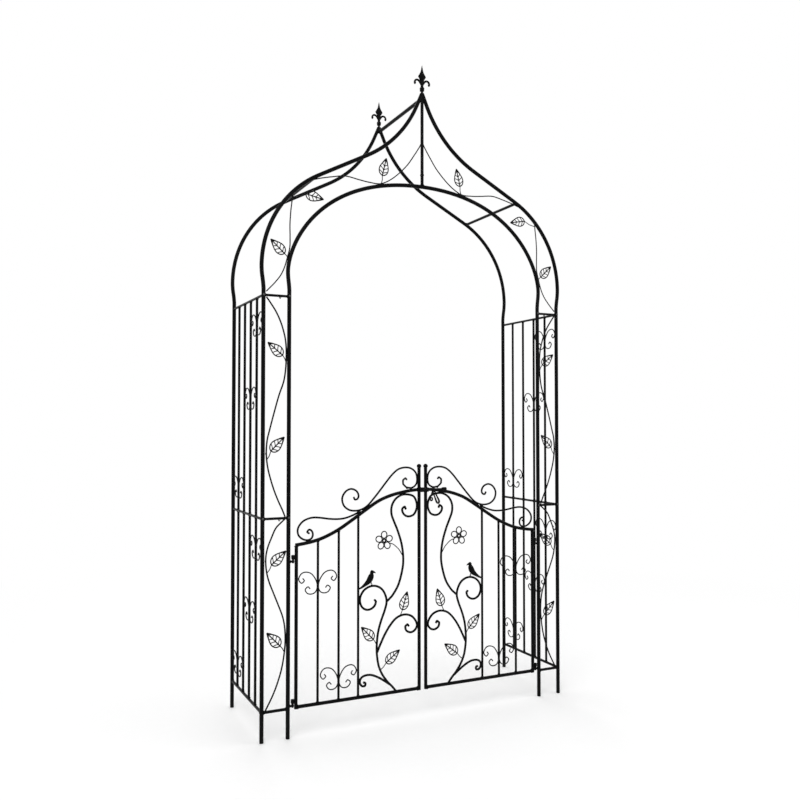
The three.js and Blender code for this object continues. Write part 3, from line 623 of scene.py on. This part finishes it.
def sideMeshes(x, part):
    low, high, rails = storeys[part]
    foot = low if part == "lower" else low + midRail[1] + gap
    places = [bar * pitch + frontY for bar in range(sideGrille["bars"] + 1)]
    barRadius, wires = sideGrille["barRadius"], []
    bars = [strand([(x, y, foot), (x, y, high)], barRadius, taper=False) for y in places[1:]]
    meshes = [straight(*crossEnds(x, height), radius) for height, radius in rails] + [rods(bars, "bar")]
    for height, radius in rails:
        weldEnds("frame", *crossEnds(x, height), radius)
    for y in places[1:]:
        for height, radius in rails:
            way = 1 if height < (low + high) / 2 else -1
            weld("frame", (x, y, height + way * radius * sideGrille["weldRise"]), (0, 0, way), barRadius)
        if part == "upper":
            weld("frame", (x, y, foot), (0, 0, 1), barRadius)
    for bar, share in sideGrille[part]:
        y, height = places[bar], low + share * (high - low)
        wires += butterflyStrands(y, height, sideSpan, lambda y, z: (x, y, z))
        spotPair("frame", (x, y, height), (0, sideGrille["spotOut"], 0), (1, 0, 0), sideGrille["spotSize"])
    return meshes + [rods(wires, "wire")]


for side, sign in sides.items():
    for part in storeys:
        piece("side_grille_" + part + "_" + side, "_bars", sideMeshes(sign * outerX, part))
print("side grilles made")

# leaves: a rim, a midrib and side veins, all of tapering wire
leaf = {
    "length": 63, "width": 35, "rim": 2.1, "tipGain": 1.35, "rib": [2.31, 2.1, 2.1], "vein": 1.6,
    "veinBend": 0.015, "veinMiddle": 0.5, "stalkBend": 0.06, "stalkInto": 3, "flatness": 0.85,
    "ribLine": [(-0.02, 0), (0.5, 0), (0.95, 0)],
    "edge": [
        (0, 0.1), (0.05, 0.5), (0.14, 0.8), (0.28, 0.98), (0.42, 0.97), (0.56, 0.82), (0.7, 0.6), (0.84, 0.32),
        (0.95, 0.1), (1, 0)],
    "veins": [(0.12, 0.27, 0.94), (0.33, 0.49, 0.86), (0.54, 0.68, 0.6)],
}


def leafStrands(base, degrees):
    def place(far, out):
        return aside(base, degrees, far * leaf["length"], out * leaf["width"] / 2)
    veins = [[(start, 0), ((start + far) / 2 + leaf["veinBend"], side * leaf["veinMiddle"]), (far, side)]
             for start, far, out in leaf["veins"] for side in (out, -out)]
    return [blade(place, leaf["edge"], leaf["rim"], leaf["tipGain"]),
            strand(leaf["ribLine"], leaf["rib"], toPlace=place),
            *[strand(vein, leaf["vein"], toPlace=place) for vein in veins]]


def leafMesh(toPlace, leaves, sign):
    # for each leaf, the root of its stalk, the base of its blade and its direction
    strands, bend = [], leaf["stalkBend"]
    for root, base, degrees in leaves:
        root, base = toPlace(*root), toPlace(*base)
        middle = ((root[0] + base[0]) / 2 + (base[1] - root[1]) * bend,
                  (root[1] + base[1]) / 2 - (base[0] - root[0]) * bend)
        strands.append(strand([root, middle, base, aside(base, degrees, leaf["stalkInto"], 0)], wire["stalk"]))
        strands += leafStrands(base, degrees)
    return flat(rods(strands, "leaf", sign), leaf["flatness"])


# vine panels between the outer and inner front legs
panels = {
    "lower": {
        "vine": [
            (0, 0), (0.15, 0.03), (0.4, 0.082), (0.62, 0.14), (0.82, 0.21), (0.94, 0.28), (1, 0.35),
            (0.98, 0.42), (0.88, 0.48), (0.66, 0.545), (0.4, 0.615), (0.17, 0.68), (0.05, 0.74), (0.03, 0.8),
            (0.12, 0.85), (0.27, 0.892), (0.5, 0.947), (0.75, 0.975), (0.97, 0.996)],
        "leaves": [((0.95, 0.3), (0.74, 0.334), 134), ((0.09, 0.718), (0.32, 0.76), 41)],
        "touches": [(1, 0.35), (0.03, 0.78)],
    },
    "upper": {
        "vine": [
            (0.97, 0.006), (0.84, 0.036), (0.62, 0.08), (0.42, 0.126), (0.24, 0.178), (0.1, 0.23), (0.03, 0.29),
            (0.07, 0.35), (0.2, 0.4), (0.38, 0.464), (0.64, 0.55), (0.88, 0.615), (0.98, 0.68), (1, 0.75),
            (0.96, 0.8), (0.86, 0.842), (0.7, 0.886), (0.48, 0.928), (0.2, 0.967), (0, 0.992)],
        "leaves": [((0.99, 0.7), (0.81, 0.733), 141), ((0.05, 0.262), (0.26, 0.302), 45)],
        "touches": [(1, 0.75), (0.03, 0.29)],
    },
}
panelTouch = {"out": 2.2, "size": (1.5, 1.6, 4.5)}
nib = {"share": 0.68, "wire": 1.3, "line": [(-4.2, 1.5), (-2.4, 5.4), (0, 9.0), (2.4, 5.4), (4.2, 1.5)]}
railEnds = (-outerX + tubeRadius, -innerX - tubeRadius)
bandClear = tubeRadius + wire["panelVine"] + gap
bandLeft, bandRight = -outerX + bandClear, -innerX - bandClear


def vinePanel(part, side, sign):
    low, high, rails = storeys[part]

    def place(across, up):
        return (bandLeft + across * (bandRight - bandLeft), low + up * (high - low))
    nibX = place(nib["share"], 0)[0]
    bars = [strand([(x, height) for x in railEnds], radius, taper=False) for height, radius in rails]
    wires = [strand(panels[part]["vine"], wire["panelVine"], toPlace=place),
             strand([(nibX + out, rails[-1][0] - drop) for out, drop in nib["line"]], nib["wire"])]
    piece("vine_panel_" + part + "_" + side, "_wire",
          [rods(bars, "bar", sign), rods(wires, "wire", sign),
           leafMesh(place, panels[part]["leaves"], sign)], slot="ornament_steel")
    for height, radius in rails:
        weldEnds("frame", *[drawn((x, height), sign) for x in railEnds], radius)
    for across, up in panels[part]["touches"]:
        x, z = place(across, up)
        out = panelTouch["out"] if across > 0.5 else -panelTouch["out"]
        spot("frame", drawn((x + out, z), sign), (0, 0, 1), panelTouch["size"])


for side, sign in sides.items():
    for part in storeys:
        vinePanel(part, side, sign)
print("vine panels made")

# arch vines between the ogee and the inner arch
archVines = {
    "lower": {
        "vine": [
            (0, 0), (0.037, 0.47), (0.07, 0.77), (0.11, 0.95), (0.156, 1), (0.2, 0.97), (0.24, 0.8),
            (0.275, 0.58), (0.31, 0.34), (0.337, 0.13), (0.354, -0.04)],
        "leaves": [((0.156, 1), (0.163, 0.83), 137), ((0.348, 0.02), (0.401, 0.265), -11)],
        "touch": (0.16, 1.05),
    },
    "upper": {
        "vine": [
            (0.449, -0.03), (0.475, 0.03), (0.52, 0.16), (0.58, 0.36), (0.65, 0.7), (0.71, 0.9), (0.778, 1),
            (0.84, 0.9), (0.905, 0.74), (0.952, 0.62), (0.985, 0.555), (0.993, 0.535)],
        "leaves": [((0.778, 1), (0.773, 0.79), 76)],
        "touch": (0.778, 1.05),
    },
}
archTouchSize = (1.6, 1.6, 4.5)
vineClear = tubeRadius + wire["vine"] + gap


def archPlace(share, across):
    outer, inner = along(ogeePoints, share), along(innerPoints, share)
    width = math.dist(outer, inner)
    part = (vineClear + across * (width - 2 * vineClear)) / width
    return tuple(a + part * (b - a) for a, b in zip(outer, inner))


for side, sign in sides.items():
    for part, vine in archVines.items():
        wires = [strand(vine["vine"], wire["vine"], toPlace=archPlace)]
        piece("arch_vine_" + part + "_" + side, "_wire",
              [rods(wires, "vine", sign), leafMesh(archPlace, vine["leaves"], sign)], slot="ornament_steel")
        spot("frame", drawn(archPlace(*vine["touch"]), sign), (0, 0, 1), archTouchSize)
print("arch vines made")

# finials
finial = {
    "height": 103.5, "stemRadius": 9, "spearRadius": 16, "spearDepth": 0.4, "curlWidth": 31,
    "weldRise": 0.2, "weldRadius": 3.9,
    "stem": [
        (0, 0.003), (0.48, 0.003), (0.46, 0.04), (0.54, 0.06), (0.86, 0.075), (0.94, 0.1), (0.84, 0.122),
        (0.94, 0.14), (1, 0.165), (0.88, 0.195), (0.62, 0.212), (0.59, 0.26), (0.59, 0.36), (0.54, 0.43),
        (0, 0.46)],
    "spear": [
        (0, 0.33), (0.2, 0.345), (0.32, 0.38), (0.42, 0.43), (0.56, 0.475), (0.78, 0.53), (0.97, 0.58),
        (0.98, 0.6), (0.8, 0.645), (0.54, 0.71), (0.38, 0.76), (0.27, 0.82), (0.17, 0.9), (0.06, 0.98), (0, 1)],
    "curl": [
        (0, 0.29), (0.1, 0.325), (0.2, 0.364), (0.36, 0.425), (0.54, 0.454), (0.735, 0.454), (0.9, 0.415),
        (0.96, 0.365), (0.92, 0.33), (0.83, 0.32)],
    "curlGirth": [4.56, 4.37, 4.18, 3.99, 3.8, 3.724, 3.724, 3.8, 4.56, 4.94],
}


def finialPlaces(key, width):
    return [(out * width, apex + up * finial["height"]) for out, up in finial[key]]


for label, y in (("front", frontY), ("back", backY)):
    stem, spear = [turned(finialPlaces(key, finial[key + "Radius"]), "finial") for key in ("stem", "spear")]
    spear.transform(Matrix.Diagonal((1, finial["spearDepth"], 1, 1)))
    curl = finialPlaces("curl", finial["curlWidth"])
    curls = rods([strand([(side * x, 0, z) for x, z in curl], finial["curlGirth"]) for side in (1, -1)], "curl")
    piece("finial_" + label, "_casting", [moved(mesh, 0, y) for mesh in (stem, spear, curls)],
          slot="finial_iron", sharp=50)
    weld("frame", (0, y, apex + finial["weldRise"]), (0, 0, 1), finial["weldRadius"])
print("finials made")

# gate leaves, drawn for the left one in so many steps across, and in millimetres up
gate = {
    "low": 100, "rise": 708, "steps": 460, "meetingHalf": 13.2, "hingeReach": 16.5, "eyeReach": 11.5,
    "stileRadius": 6, "stileShort": 1.2, "barRadius": 4.2, "barShares": [0.166, 0.33, 0.487],
    "stileFoot": [(0, 0), (5.2, 0), (6, 0.8)], "stileTop": [(6, -0.8), (5.2, 0), (0, 0)],
    "scrolls": [0.558, 0.093], "rootWeld": (365, 6), "rootAim": (0.5, 0.87),
}
gateLow, gateRise, stileRadius, barRadius = [gate[key] for key in ("low", "rise", "stileRadius", "barRadius")]
hingeX = innerX - gate["hingeReach"]
stileX = hingeX - gate["eyeReach"]
gateWidth = stileX - gate["meetingHalf"]
gateTop = gateLow + gateRise

# hinge pins on the inner legs, and the eyes that turn on them; rises are from the middle of the eye
hinge = {
    "shares": {"lower": 0.03, "upper": 0.705}, "pinRadius": 3.9, "pinDrop": 15,
    "pin": [
        (0, -21), (3.1, -21), (3.9, -20.2), (3.9, -19.5), (4.6, -16.5), (4.6, -13.5), (3.9, -10.5), (3.9, 5.9),
        (3.2, 6.7), (0, 6.7)],
    "shoulder": [(0, -8.8), (4.5, -8.8), (5, -8.3), (5, -6.2), (4.6, -5.8), (0, -5.8)],
    "eye": [(4.35, -5.2), (4.65, -5.5), (5.9, -5.5), (6.4, -5), (6.4, 5), (5.9, 5.5), (4.65, 5.5), (4.35, 5.2)],
    "armStart": 5.6, "armRadius": 3.4, "spotInto": 0.5, "spotRise": 5.3, "spotSize": (1.2, 1.2, 3),
}
for side, sign in sides.items():
    for part, share in hinge["shares"].items():
        eye, radius = gateLow + share * gateRise, hinge["pinRadius"]
        root, end = [(sign * x, eye - hinge["pinDrop"]) for x in (innerX - tubeRadius, hingeX)]
        pin, shoulder = [lathe(sign * hingeX, frontY, "pin", (eye, hinge[key])) for key in ("pin", "shoulder")]
        piece("hinge_pin_" + part + "_" + side, "_rod", [straight(root, end, radius, "stub"), pin, shoulder])
        weld("frame", root, (-sign, 0, 0), radius)
print("hinge pins made")


def eyeMeshes(share, sign, body):
    eye = gateLow + share * gateRise
    arm = straight((sign * (hingeX - hinge["armStart"]), eye), (sign * stileX, eye), hinge["armRadius"])
    x = sign * (stileX + stileRadius - hinge["spotInto"])
    spotPair(body, (x, eye), (0, 0, hinge["spotRise"]), (0, 1, 0), hinge["spotSize"])
    return [moved(turned(hinge["eye"], "eye", loop=True), sign * hingeX, frontY, eye), arm]


gateLines = {
    "topRail": [
        (-3, 538), (24, 541), (60, 547), (100, 558.5), (150, 581), (200, 611), (250, 643), (300, 673),
        (350, 691.5), (400, 702), (430, 706), (455.5, 708)],
    "lowCrest": [
        (46, 573), (38, 580), (45, 587), (54, 582), (58, 570), (53, 557), (38, 552), (21, 557), (8, 569),
        (4, 585), (9, 601), (23, 616), (41, 624), (60, 627), (85, 625), (115, 620), (145, 617.5), (172, 619),
        (198, 626), (222, 636), (232, 644)],
    "highCrest": [
        (206, 691), (212, 681.5), (221, 684), (225, 696), (216, 712), (196, 719), (176, 710), (164, 688),
        (170, 663), (190, 647), (216, 643), (240, 648), (260, 660), (278, 678), (302, 705), (328, 736),
        (352, 763), (376, 782), (402, 788.5), (427, 785), (446, 770), (452, 748), (448, 727), (431, 715.5),
        (412, 717), (398, 728), (396, 742), (405, 750), (412, 744)],
    "stem": [
        (368, 3), (354, 20), (335, 40), (320, 60), (308, 82), (299, 110), (294, 155), (297, 200), (303, 230),
        (313, 260), (325, 290), (332, 318), (327, 343), (313, 365), (291, 377), (267, 377), (246, 366),
        (233, 347), (231, 327), (239, 308), (255, 298), (272, 299), (286, 309), (291, 322), (285, 331)],
    "upperBranch": [
        (408, 639), (402, 649), (393, 641), (396, 627), (408, 616), (424, 614), (441, 622), (451, 645),
        (448, 668), (437, 685), (415, 692), (390, 691), (366, 677), (352, 653), (351, 625), (361, 598),
        (376, 563), (391, 515), (397, 465), (393, 425), (378, 375), (357, 342), (334, 320)],
    "sideBranch": [
        (296, 146), (307, 170), (324, 203), (345, 234), (370, 258), (400, 267), (428, 260), (446, 241),
        (451, 222), (441, 207), (425, 202), (409, 210), (405, 223), (413, 231), (420, 224)],
    "footBranch": [
        (345, 28), (325, 43), (300, 59), (272, 71), (247, 71), (233, 62), (231, 48), (239, 37), (250, 37),
        (251, 46), (243, 49)],
    "flowerStem": [(342, 524), (360, 517), (379, 500), (393, 478)],
}
gateLeaves = [((309, 84), (331, 106), 37), ((294, 170), (281, 193), 134), ((381, 262), (394, 285), 73)]
gateTouches = [  # places and degrees
    (38, 549.5, 14), (200, 615, 20), (222, 640, 25), (452, 748, 90), (412, 713, 5), (402, 696, 10),
    (451, 645, 90), (451, 225, 90), (230, 327, 90), (230, 54, 90), (332, 320, 70), (296, 150, 75),
    (344, 30, 135)]


def onLeaf(across, up):
    return (-stileX + across / gate["steps"] * gateWidth, gateLow + up)


def gateLine(places, radius, taper=True):
    return strand(places, radius, taper=taper, toPlace=onLeaf)


flower = {
    "centre": (322.5, 533), "petals": 5, "reach": 20.8, "petalLong": 12, "petalWide": 10.6, "wire": 2,
    "hubHalf": 5.75, "hubWire": 2.9, "flatness": 0.9,
}


def oval(centre, longHalf, wideHalf, radius):
    return strand([centre + longHalf * math.cos(turn) + wideHalf * math.sin(turn)
                   for turn in circle(roundSides["petal"])], radius, closed=True)


def flowerMesh(sign):
    middle, hub = spaced(onLeaf(*flower["centre"])), flower["hubHalf"]
    strands = []
    for turn in circle(flower["petals"]):
        axis = Vector((-math.sin(turn), 0, math.cos(turn)))
        across = axis.cross((0, 1, 0))
        strands.append(oval(middle + axis * flower["reach"], axis * flower["petalLong"],
                            across * flower["petalWide"], flower["wire"]))
    strands += [oval(middle, Vector((hub, 0, 0)), Vector((0, 0, hub)), flower["hubWire"]),
                gateLine(gateLines["flowerStem"], wire["stalk"])]
    return flat(rods(strands, "flower", sign), flower["flatness"])


bird = {
    "body": [(226, 371.5), (238, 377), (250, 385), (262, 394.5), (269.5, 405), (273.5, 415), (275.5, 424)],
    "bodyGirth": [2.6, 4.2, 6.4, 9.6, 11.2, 9.8, 7.2],
    "head": [(273.5, 421), (276, 427), (278.5, 428.5)], "headGirth": [6.6, 7.3, 6],
    "beak": [(280, 427), (286, 425), (290.5, 422)], "beakGirth": [4.2, 2.6, 0.8],
    "leg": [(272, 392), (275, 383), (277, 375)], "legSteps": (-1.6, 1.6), "legRadius": 1.1, "flatness": 0.62,
}


def birdMeshes(sign):
    parts = [gateLine(bird[part], bird[part + "Girth"]) for part in ("body", "head", "beak")]
    legs = [gateLine([(across + step, up) for across, up in bird["leg"]], bird["legRadius"])
            for step in bird["legSteps"]]
    return [flat(rods(parts, "bird", sign), bird["flatness"]), rods(legs, "birdLeg", sign)]


# a meeting stile ends in a ball on a small neck
ball = {
    "radius": 8.3, "rise": 84, "steps": 14, "neckRadius": 5.4,
    "neck": [(6, -10.8), (6.5, -9.9), (6.5, -8.5)],
}
ballAt = gateTop + ball["rise"]
ballStart = math.asin(ball["neckRadius"] / ball["radius"])
ballTurns = [ballStart + (math.pi - ballStart) * step / ball["steps"] for step in range(ball["steps"])]
ballProfile = [*ball["neck"], *[(ball["radius"] * math.sin(turn), -ball["radius"] * math.cos(turn))
                                for turn in ballTurns], (0, ball["radius"])]

scrollClear = barRadius + wire["vine"] + gap
barX = [-stileX + share * gateWidth for share in gate["barShares"]]
barSpans = [min(barX[0] + stileX - stileRadius - wire["vine"] - gap, barX[1] - barX[0] - scrollClear),
            min(barX[1] - barX[0], barX[2] - barX[1]) - scrollClear]
gateWelds = {
    "topRise": 0.5, "barSink": 0.3, "barInto": 0.6, "barDrop": 0.5, "scrollOut": 3.3,
    "scrollSize": (1, 2.2, 1.6), "touchSize": (1.7, 1.7, 4.2), "meetingX": 19.5, "meetingBack": 0.8,
    "meetingRise": 5.8, "meetingSize": (1.7, 1.7, 3.8),
}
railHeights = numpy.interp(barX, *zip(*[onLeaf(*place) for place in gateLines["topRail"]]))
stileLow = gateLow - stileRadius
hingeTop = onLeaf(*gateLines["topRail"][1])[1] - stileRadius - gate["stileShort"]
for side, sign in sides.items():
    body = side + "_gate"
    meshes = [lathe(sign * stileX, frontY, "stile", (stileLow, gate["stileFoot"]), (hingeTop, gate["stileTop"]))]
    for share in hinge["shares"].values():
        meshes += eyeMeshes(share, sign, body)
    piece(body + "_hinge_stile", "_tube", meshes, body)
    weld(body, (sign * stileX, hingeTop + gateWelds["topRise"]), (0, 0, -1), stileRadius)
    piece(body + "_meeting_stile", "_tube", [lathe(
        sign * gate["meetingHalf"], frontY, "meetingStile", (stileLow, gate["stileFoot"]),
        (ballAt, ballProfile))], body)

    ends = [(sign * x, gateLow) for x in (stileX - stileRadius, gate["meetingHalf"] + stileRadius)]
    piece(body + "_bottom_rail", "_tube", [straight(*ends, stileRadius, "bottomRail")], body)
    rail = [gateLine(gateLines["topRail"], stileRadius, taper=False)]
    piece(body + "_top_rail", "_tube", [rods(rail, "topRail", sign)], body)
    weldEnds(body, *ends, stileRadius)
    # above and below only, because the bolt's collar slides past in front
    place = (sign * gateWelds["meetingX"], frontY + gateWelds["meetingBack"], gateTop)
    spotPair(body, place, (0, 0, gateWelds["meetingRise"]), (0, 1, 0), gateWelds["meetingSize"])

    for index, label in enumerate(("outer", "middle", "inner")):
        x, low = -sign * barX[index], gateLow + stileRadius
        high = railHeights[index] - stileRadius + gateWelds["barInto"]
        meshes = [straight((x, low - gateWelds["barSink"]), (x, high), barRadius)]
        weldEnds(body, (x, low), (x, high - gateWelds["barDrop"]), barRadius)
        if index < len(gate["scrolls"]):
            height = gateLow + gate["scrolls"][index] * gateRise
            meshes.append(rods(butterflyStrands(x, height, barSpans[index], lambda *place: place), "wire"))
            spotPair(body, (x, height), (gateWelds["scrollOut"], 0, 0), (0, 1, 0), gateWelds["scrollSize"])
        piece(body + "_bar_" + label, "_rod", meshes, body)

    crest = [gateLine(gateLines[key], wire["scroll"]) for key in ("lowCrest", "highCrest")]
    piece(body + "_crest", "_scrolls", [rods(crest, "scroll", sign)], body, "ornament_steel")
    vine = [gateLine(gateLines[key], wire["branch"])
            for key in ("stem", "upperBranch", "sideBranch", "footBranch")]
    meshes = [rods(vine, "scroll", sign), leafMesh(onLeaf, gateLeaves, sign), flowerMesh(sign)]
    piece(body + "_vine", "_scrolls", meshes + birdMeshes(sign), body, "ornament_steel")
    for *place, degrees in gateTouches:
        aimX, aimZ = aside((0, 0), degrees, 1, 0)
        spot(body, drawn(onLeaf(*place), sign), (-sign * aimX, 0, aimZ), gateWelds["touchSize"])
    aimX, aimZ = gate["rootAim"]
    weld(body, drawn(onLeaf(*gate["rootWeld"]), sign), (sign * aimX, 0, aimZ), wire["scroll"])
print("gate leaves made")

# latch
latch = {
    "strapHalf": 5.9, "strap": 2.2, "strapEnds": (1, 16), "bends": (3.4, 1.2), "bevel": 0.35, "sharp": 1.2,
    "handleRoot": (38, -3.6), "handleLength": 54, "handleWidth": 18, "handleDegrees": -65, "wire": 2.9,
    "handleTip": 1.25, "curlReach": 12, "curlDrop": 40, "spotPlace": (11.8, 0.3), "spotRise": 8.2,
    "spotSize": (1.5, 1.5, 4.6),
    "bolt": [
        (0, 1), (2.4, 1), (3.6, 2.6), (3.6, 35.5), (5.5, 35.5), (6, 36), (6, 40), (5.5, 40.5), (3.6, 40.5),
        (3.6, 72.4), (4.68, 72.8), (6.175, 76), (6.5, 78.5), (6.5, 89), (5.85, 90.8), (3.9, 91.8), (0, 92)],
    "handleEdge": [(0.03, 0.28), (0.14, 0.66), (0.45, 0.72), (0.82, 0.9), (0.95, 0.62), (1, 0)],
    "curl": [(0.2, 0.1), (0.4, 0.32), (0.75, 0.6), (1, 0.82), (0.8, 1), (0.35, 0.97), (0.3, 0.8), (0.62, 0.74)],
}
boltY = -(stileRadius + gap + latch["strapHalf"])


def strapMesh(sign):
    # a flat strap bent to a square loop that opens to the stile
    half, rear = latch["strapHalf"], -stileRadius - gap / 3

    def bend(half, corner):
        arc = [(boltY - half + corner - corner * math.sin(turn), half - corner + corner * math.cos(turn))
               for turn in circle(roundSides["strap"])[:5]]
        return [(rear, half), *arc, *[(y, -z) for y, z in reversed(arc)], (rear, -half)]
    outline = bend(half + latch["strap"], latch["bends"][0]) + bend(half, latch["bends"][1])[::-1]
    shape, count = bmesh.new(), len(outline)
    loops = [[shape.verts.new((sign * x * mm, (frontY + y) * mm, (gateTop + z) * mm)) for y, z in outline]
             for x in latch["strapEnds"]]
    for step in range(count):
        after = (step + 1) % count
        shape.faces.new([loops[0][step], loops[0][after], loops[1][after], loops[1][step]])
    for loop in loops:
        for step in range(count // 2 - 1):
            shape.faces.new([loop[step], loop[step + 1], loop[count - 2 - step], loop[count - 1 - step]])
    bmesh.ops.recalc_face_normals(shape, faces=shape.faces)
    rim = [edge for edge in shape.edges
           if abs(edge.verts[0].co.x - edge.verts[1].co.x) < 1e-7 and edge.calc_face_angle(0) > latch["sharp"]]
    bmesh.ops.bevel(shape, geom=rim, offset=latch["bevel"] * mm, segments=2, affect="EDGES", profile=0.5)
    return closeMesh(shape, "strap")


piece("latch_guide", "_strap", [strapMesh(1)], "right_gate", "latch_steel")
piece("latch_keeper", "_strap", [strapMesh(-1)], "left_gate", "latch_steel")
for side, sign in sides.items():
    x, y = latch["spotPlace"]
    place = (sign * x, frontY - stileRadius + y, gateTop)
    spotPair(side + "_gate", place, (0, 0, latch["spotRise"]), (1, 0, 0), latch["spotSize"])


def boltMeshes():
    rod, radius, (rootX, rootZ) = turned(latch["bolt"], "bolt"), latch["wire"], latch["handleRoot"]
    rod.transform(Matrix.Rotation(math.radians(90), 4, "Y"))

    def place(far, out):
        x, z = aside((rootX, gateTop + rootZ), latch["handleDegrees"],
                     radius + far * (latch["handleLength"] - 2 * radius),
                     out * (latch["handleWidth"] / 2 - radius))
        return (x, frontY + boltY, z)
    curl = [(rootX - left * latch["curlReach"], frontY + boltY, gateTop - down * latch["curlDrop"])
            for left, down in latch["curl"]]
    strands = [blade(place, latch["handleEdge"], radius, latch["handleTip"]), strand(curl, radius)]
    return [moved(rod, 0, frontY + boltY, gateTop), rods(strands, "scroll")]


piece("latch_bolt", "_rod", boltMeshes(), "latch_bolt", "latch_steel")
print("latch made")

# welds and screws, one small part repeated on points
smallParts = {
    "ring": [(0.9, -0.12), (1.4, -0.06), (1.34, 0.16), (1.14, 0.4), (0.96, 0.52)],
    "spot": [(0, -1), (0.5, -0.88), (0.86, -0.5), (1.03, 0.02), (0.84, 0.52), (0.48, 0.9), (0, 1)],
    "screw": [(0, -0.4), (3.8, -0.4), (4, 0.2), (3.76, 1), (2.88, 1.8), (2, 2.2), (1.6, 2.2), (1.6, 0.9),
              (0, 0.9)],
}
seeds = {"ring": 3, "spot": 11, "screw": 21}


def ringLump(place, turn):
    return (0.05 * math.sin(5 * turn + 0.6) + 0.03 * math.sin(8 * turn)) * (math.hypot(place.x, place.y) > 1)


def spotLump(place, turn):
    return 0.05 * math.sin(3 * turn + 2 * place.z)


def smallPart(name, lump=lambda place, turn: 0):
    # a hidden part in its own measure, with a rule for how lumpy it is
    mesh = turned(smallParts[name], name, loop=name == "ring")
    mesh.transform(Matrix.Scale(1 / mm, 4))
    for vertex in mesh.vertices:
        vertex.co *= 1 + lump(vertex.co, math.atan2(vertex.co.y, vertex.co.x))
    made = linked(name, mesh)
    made.hide_render = True
    return made


def spread(points, part, index=0, finish="frame_steel"):
    places, aims, sizes = zip(*points)
    layers = [("aim", [number for aim in aims for number in Vector(aim).normalized()]),
              ("partSize", [number * mm for size in sizes for number in size])]
    return grown(partTree, places, [], layers, {
        "Part": part, "Spin Seed": seeds[part.name] + index, "Finish": finishes[finish]})


ring, blob, screw = smallPart("ring", ringLump), smallPart("spot", spotLump), smallPart("screw")
for index, body in enumerate(welds):
    meshes = [spread(welds[body], ring, index), spread(spots[body], blob, index)]
    piece(body + "_welds", "", meshes, body, sharp=60)

screws, places = {"below": 11.0, "out": 6.7}, []
for label, x, y in legs:
    way = math.copysign(1, y)
    places += [((x, y + way * screws["out"], seam - screws["below"]), (0, way, 0), (1, 1, 1))
               for seam in (midSeam, topSeam)]
piece("leg_screws", "", [spread(places, screw, finish="screw")], finish="screw")
for part in (ring, blob, screw):
    bpy.data.objects.remove(part)
print("welds and screws made,", pieceCount, "pieces")

# floor, light and camera
studio = {
    "floorSize": 30, "floorDrop": 0.0005, "tintLow": (0.96, 0.96, 0.96, 1),
    "tintHigh": (0.98, 0.98, 0.98, 1), "white": (1, 1, 1, 1), "grainScale": 40, "fade": (1.3, 3.4),
    "skyStrength": 0.8, "lampAim": (0, 0, 1.1),
}


def floorFinish(name):
    finish, made = newFinish(name)
    where = made.place()
    far = made.node("ShaderNodeVectorMath", {"operation": "LENGTH"}, [where], "Value")
    tint = made.mix(made.noise(where, studio["grainScale"], 2.0), studio["tintLow"], studio["tintHigh"])
    matte = made.node("ShaderNodeBsdfDiffuse", {}, [tint])
    glow = made.node("ShaderNodeEmission", {}, [studio["white"], 1.0])
    both = made.node("ShaderNodeMixShader", {}, [made.band(far, *studio["fade"]), matte, glow])
    made.node("ShaderNodeOutputMaterial", {}, [both])
    return finish


bpy.ops.mesh.primitive_plane_add(size=studio["floorSize"], location=(0, 0, -studio["floorDrop"]))
floor = bpy.context.object
floor.name = "studioFloor"
floor.data.materials.append(floorFinish("paleFloor"))

world = bpy.context.scene.world = bpy.data.worlds.new("studioSky")
world.use_nodes = True
sky = Nodes(world.node_tree)
rays = [sky.node("ShaderNodeLightPath", {}, {}, "Is " + kind + " Ray")
        for kind in ("Camera", "Glossy", "Transmission")]
seen = sky.math("MAXIMUM", sky.math("MAXIMUM", *rays[:2]), rays[2])
strength = seen * (1 - studio["skyStrength"]) + studio["skyStrength"]
glow = sky.node("ShaderNodeBackground", {}, [studio["white"], strength])
sky.node("ShaderNodeOutputWorld", {}, [glow])

lamps = {
    "keyLamp": {"place": (-2.6, -3.2, 4.2), "size": 2.4, "power": 70},
    "fillLamp": {"place": (3.4, -2.4, 2.6), "size": 3, "power": 30},
    "backLamp": {"place": (0.6, 3.6, 3.8), "size": 2.6, "power": 40},
}
for name, lamp in lamps.items():
    light = bpy.data.lights.new(name, "AREA")
    light.size, light.energy = lamp["size"], lamp["power"]
    made = linked(name, light)
    made.location = lamp["place"]
    made.rotation_euler = (Vector(studio["lampAim"]) - made.location).to_track_quat("-Z", "Y").to_euler()

shot = {
    "place": (-1.371, -2.86525, 1.044), "yaw": 25.62, "pitch": 1.65, "focal": 830.5, "frame": 800,
    "sensor": 36,
}
view = bpy.data.cameras.new("photoCamera")
view.sensor_width = shot["sensor"]
view.lens = shot["focal"] / shot["frame"] * shot["sensor"]
camera = linked("photoCamera", view)
camera.location = shot["place"]
camera.rotation_euler = (math.radians(90 + shot["pitch"]), 0, math.radians(-shot["yaw"]))
bpy.context.scene.camera = camera
bpy.context.scene.view_settings.view_transform = "Standard"

print("scene ready")
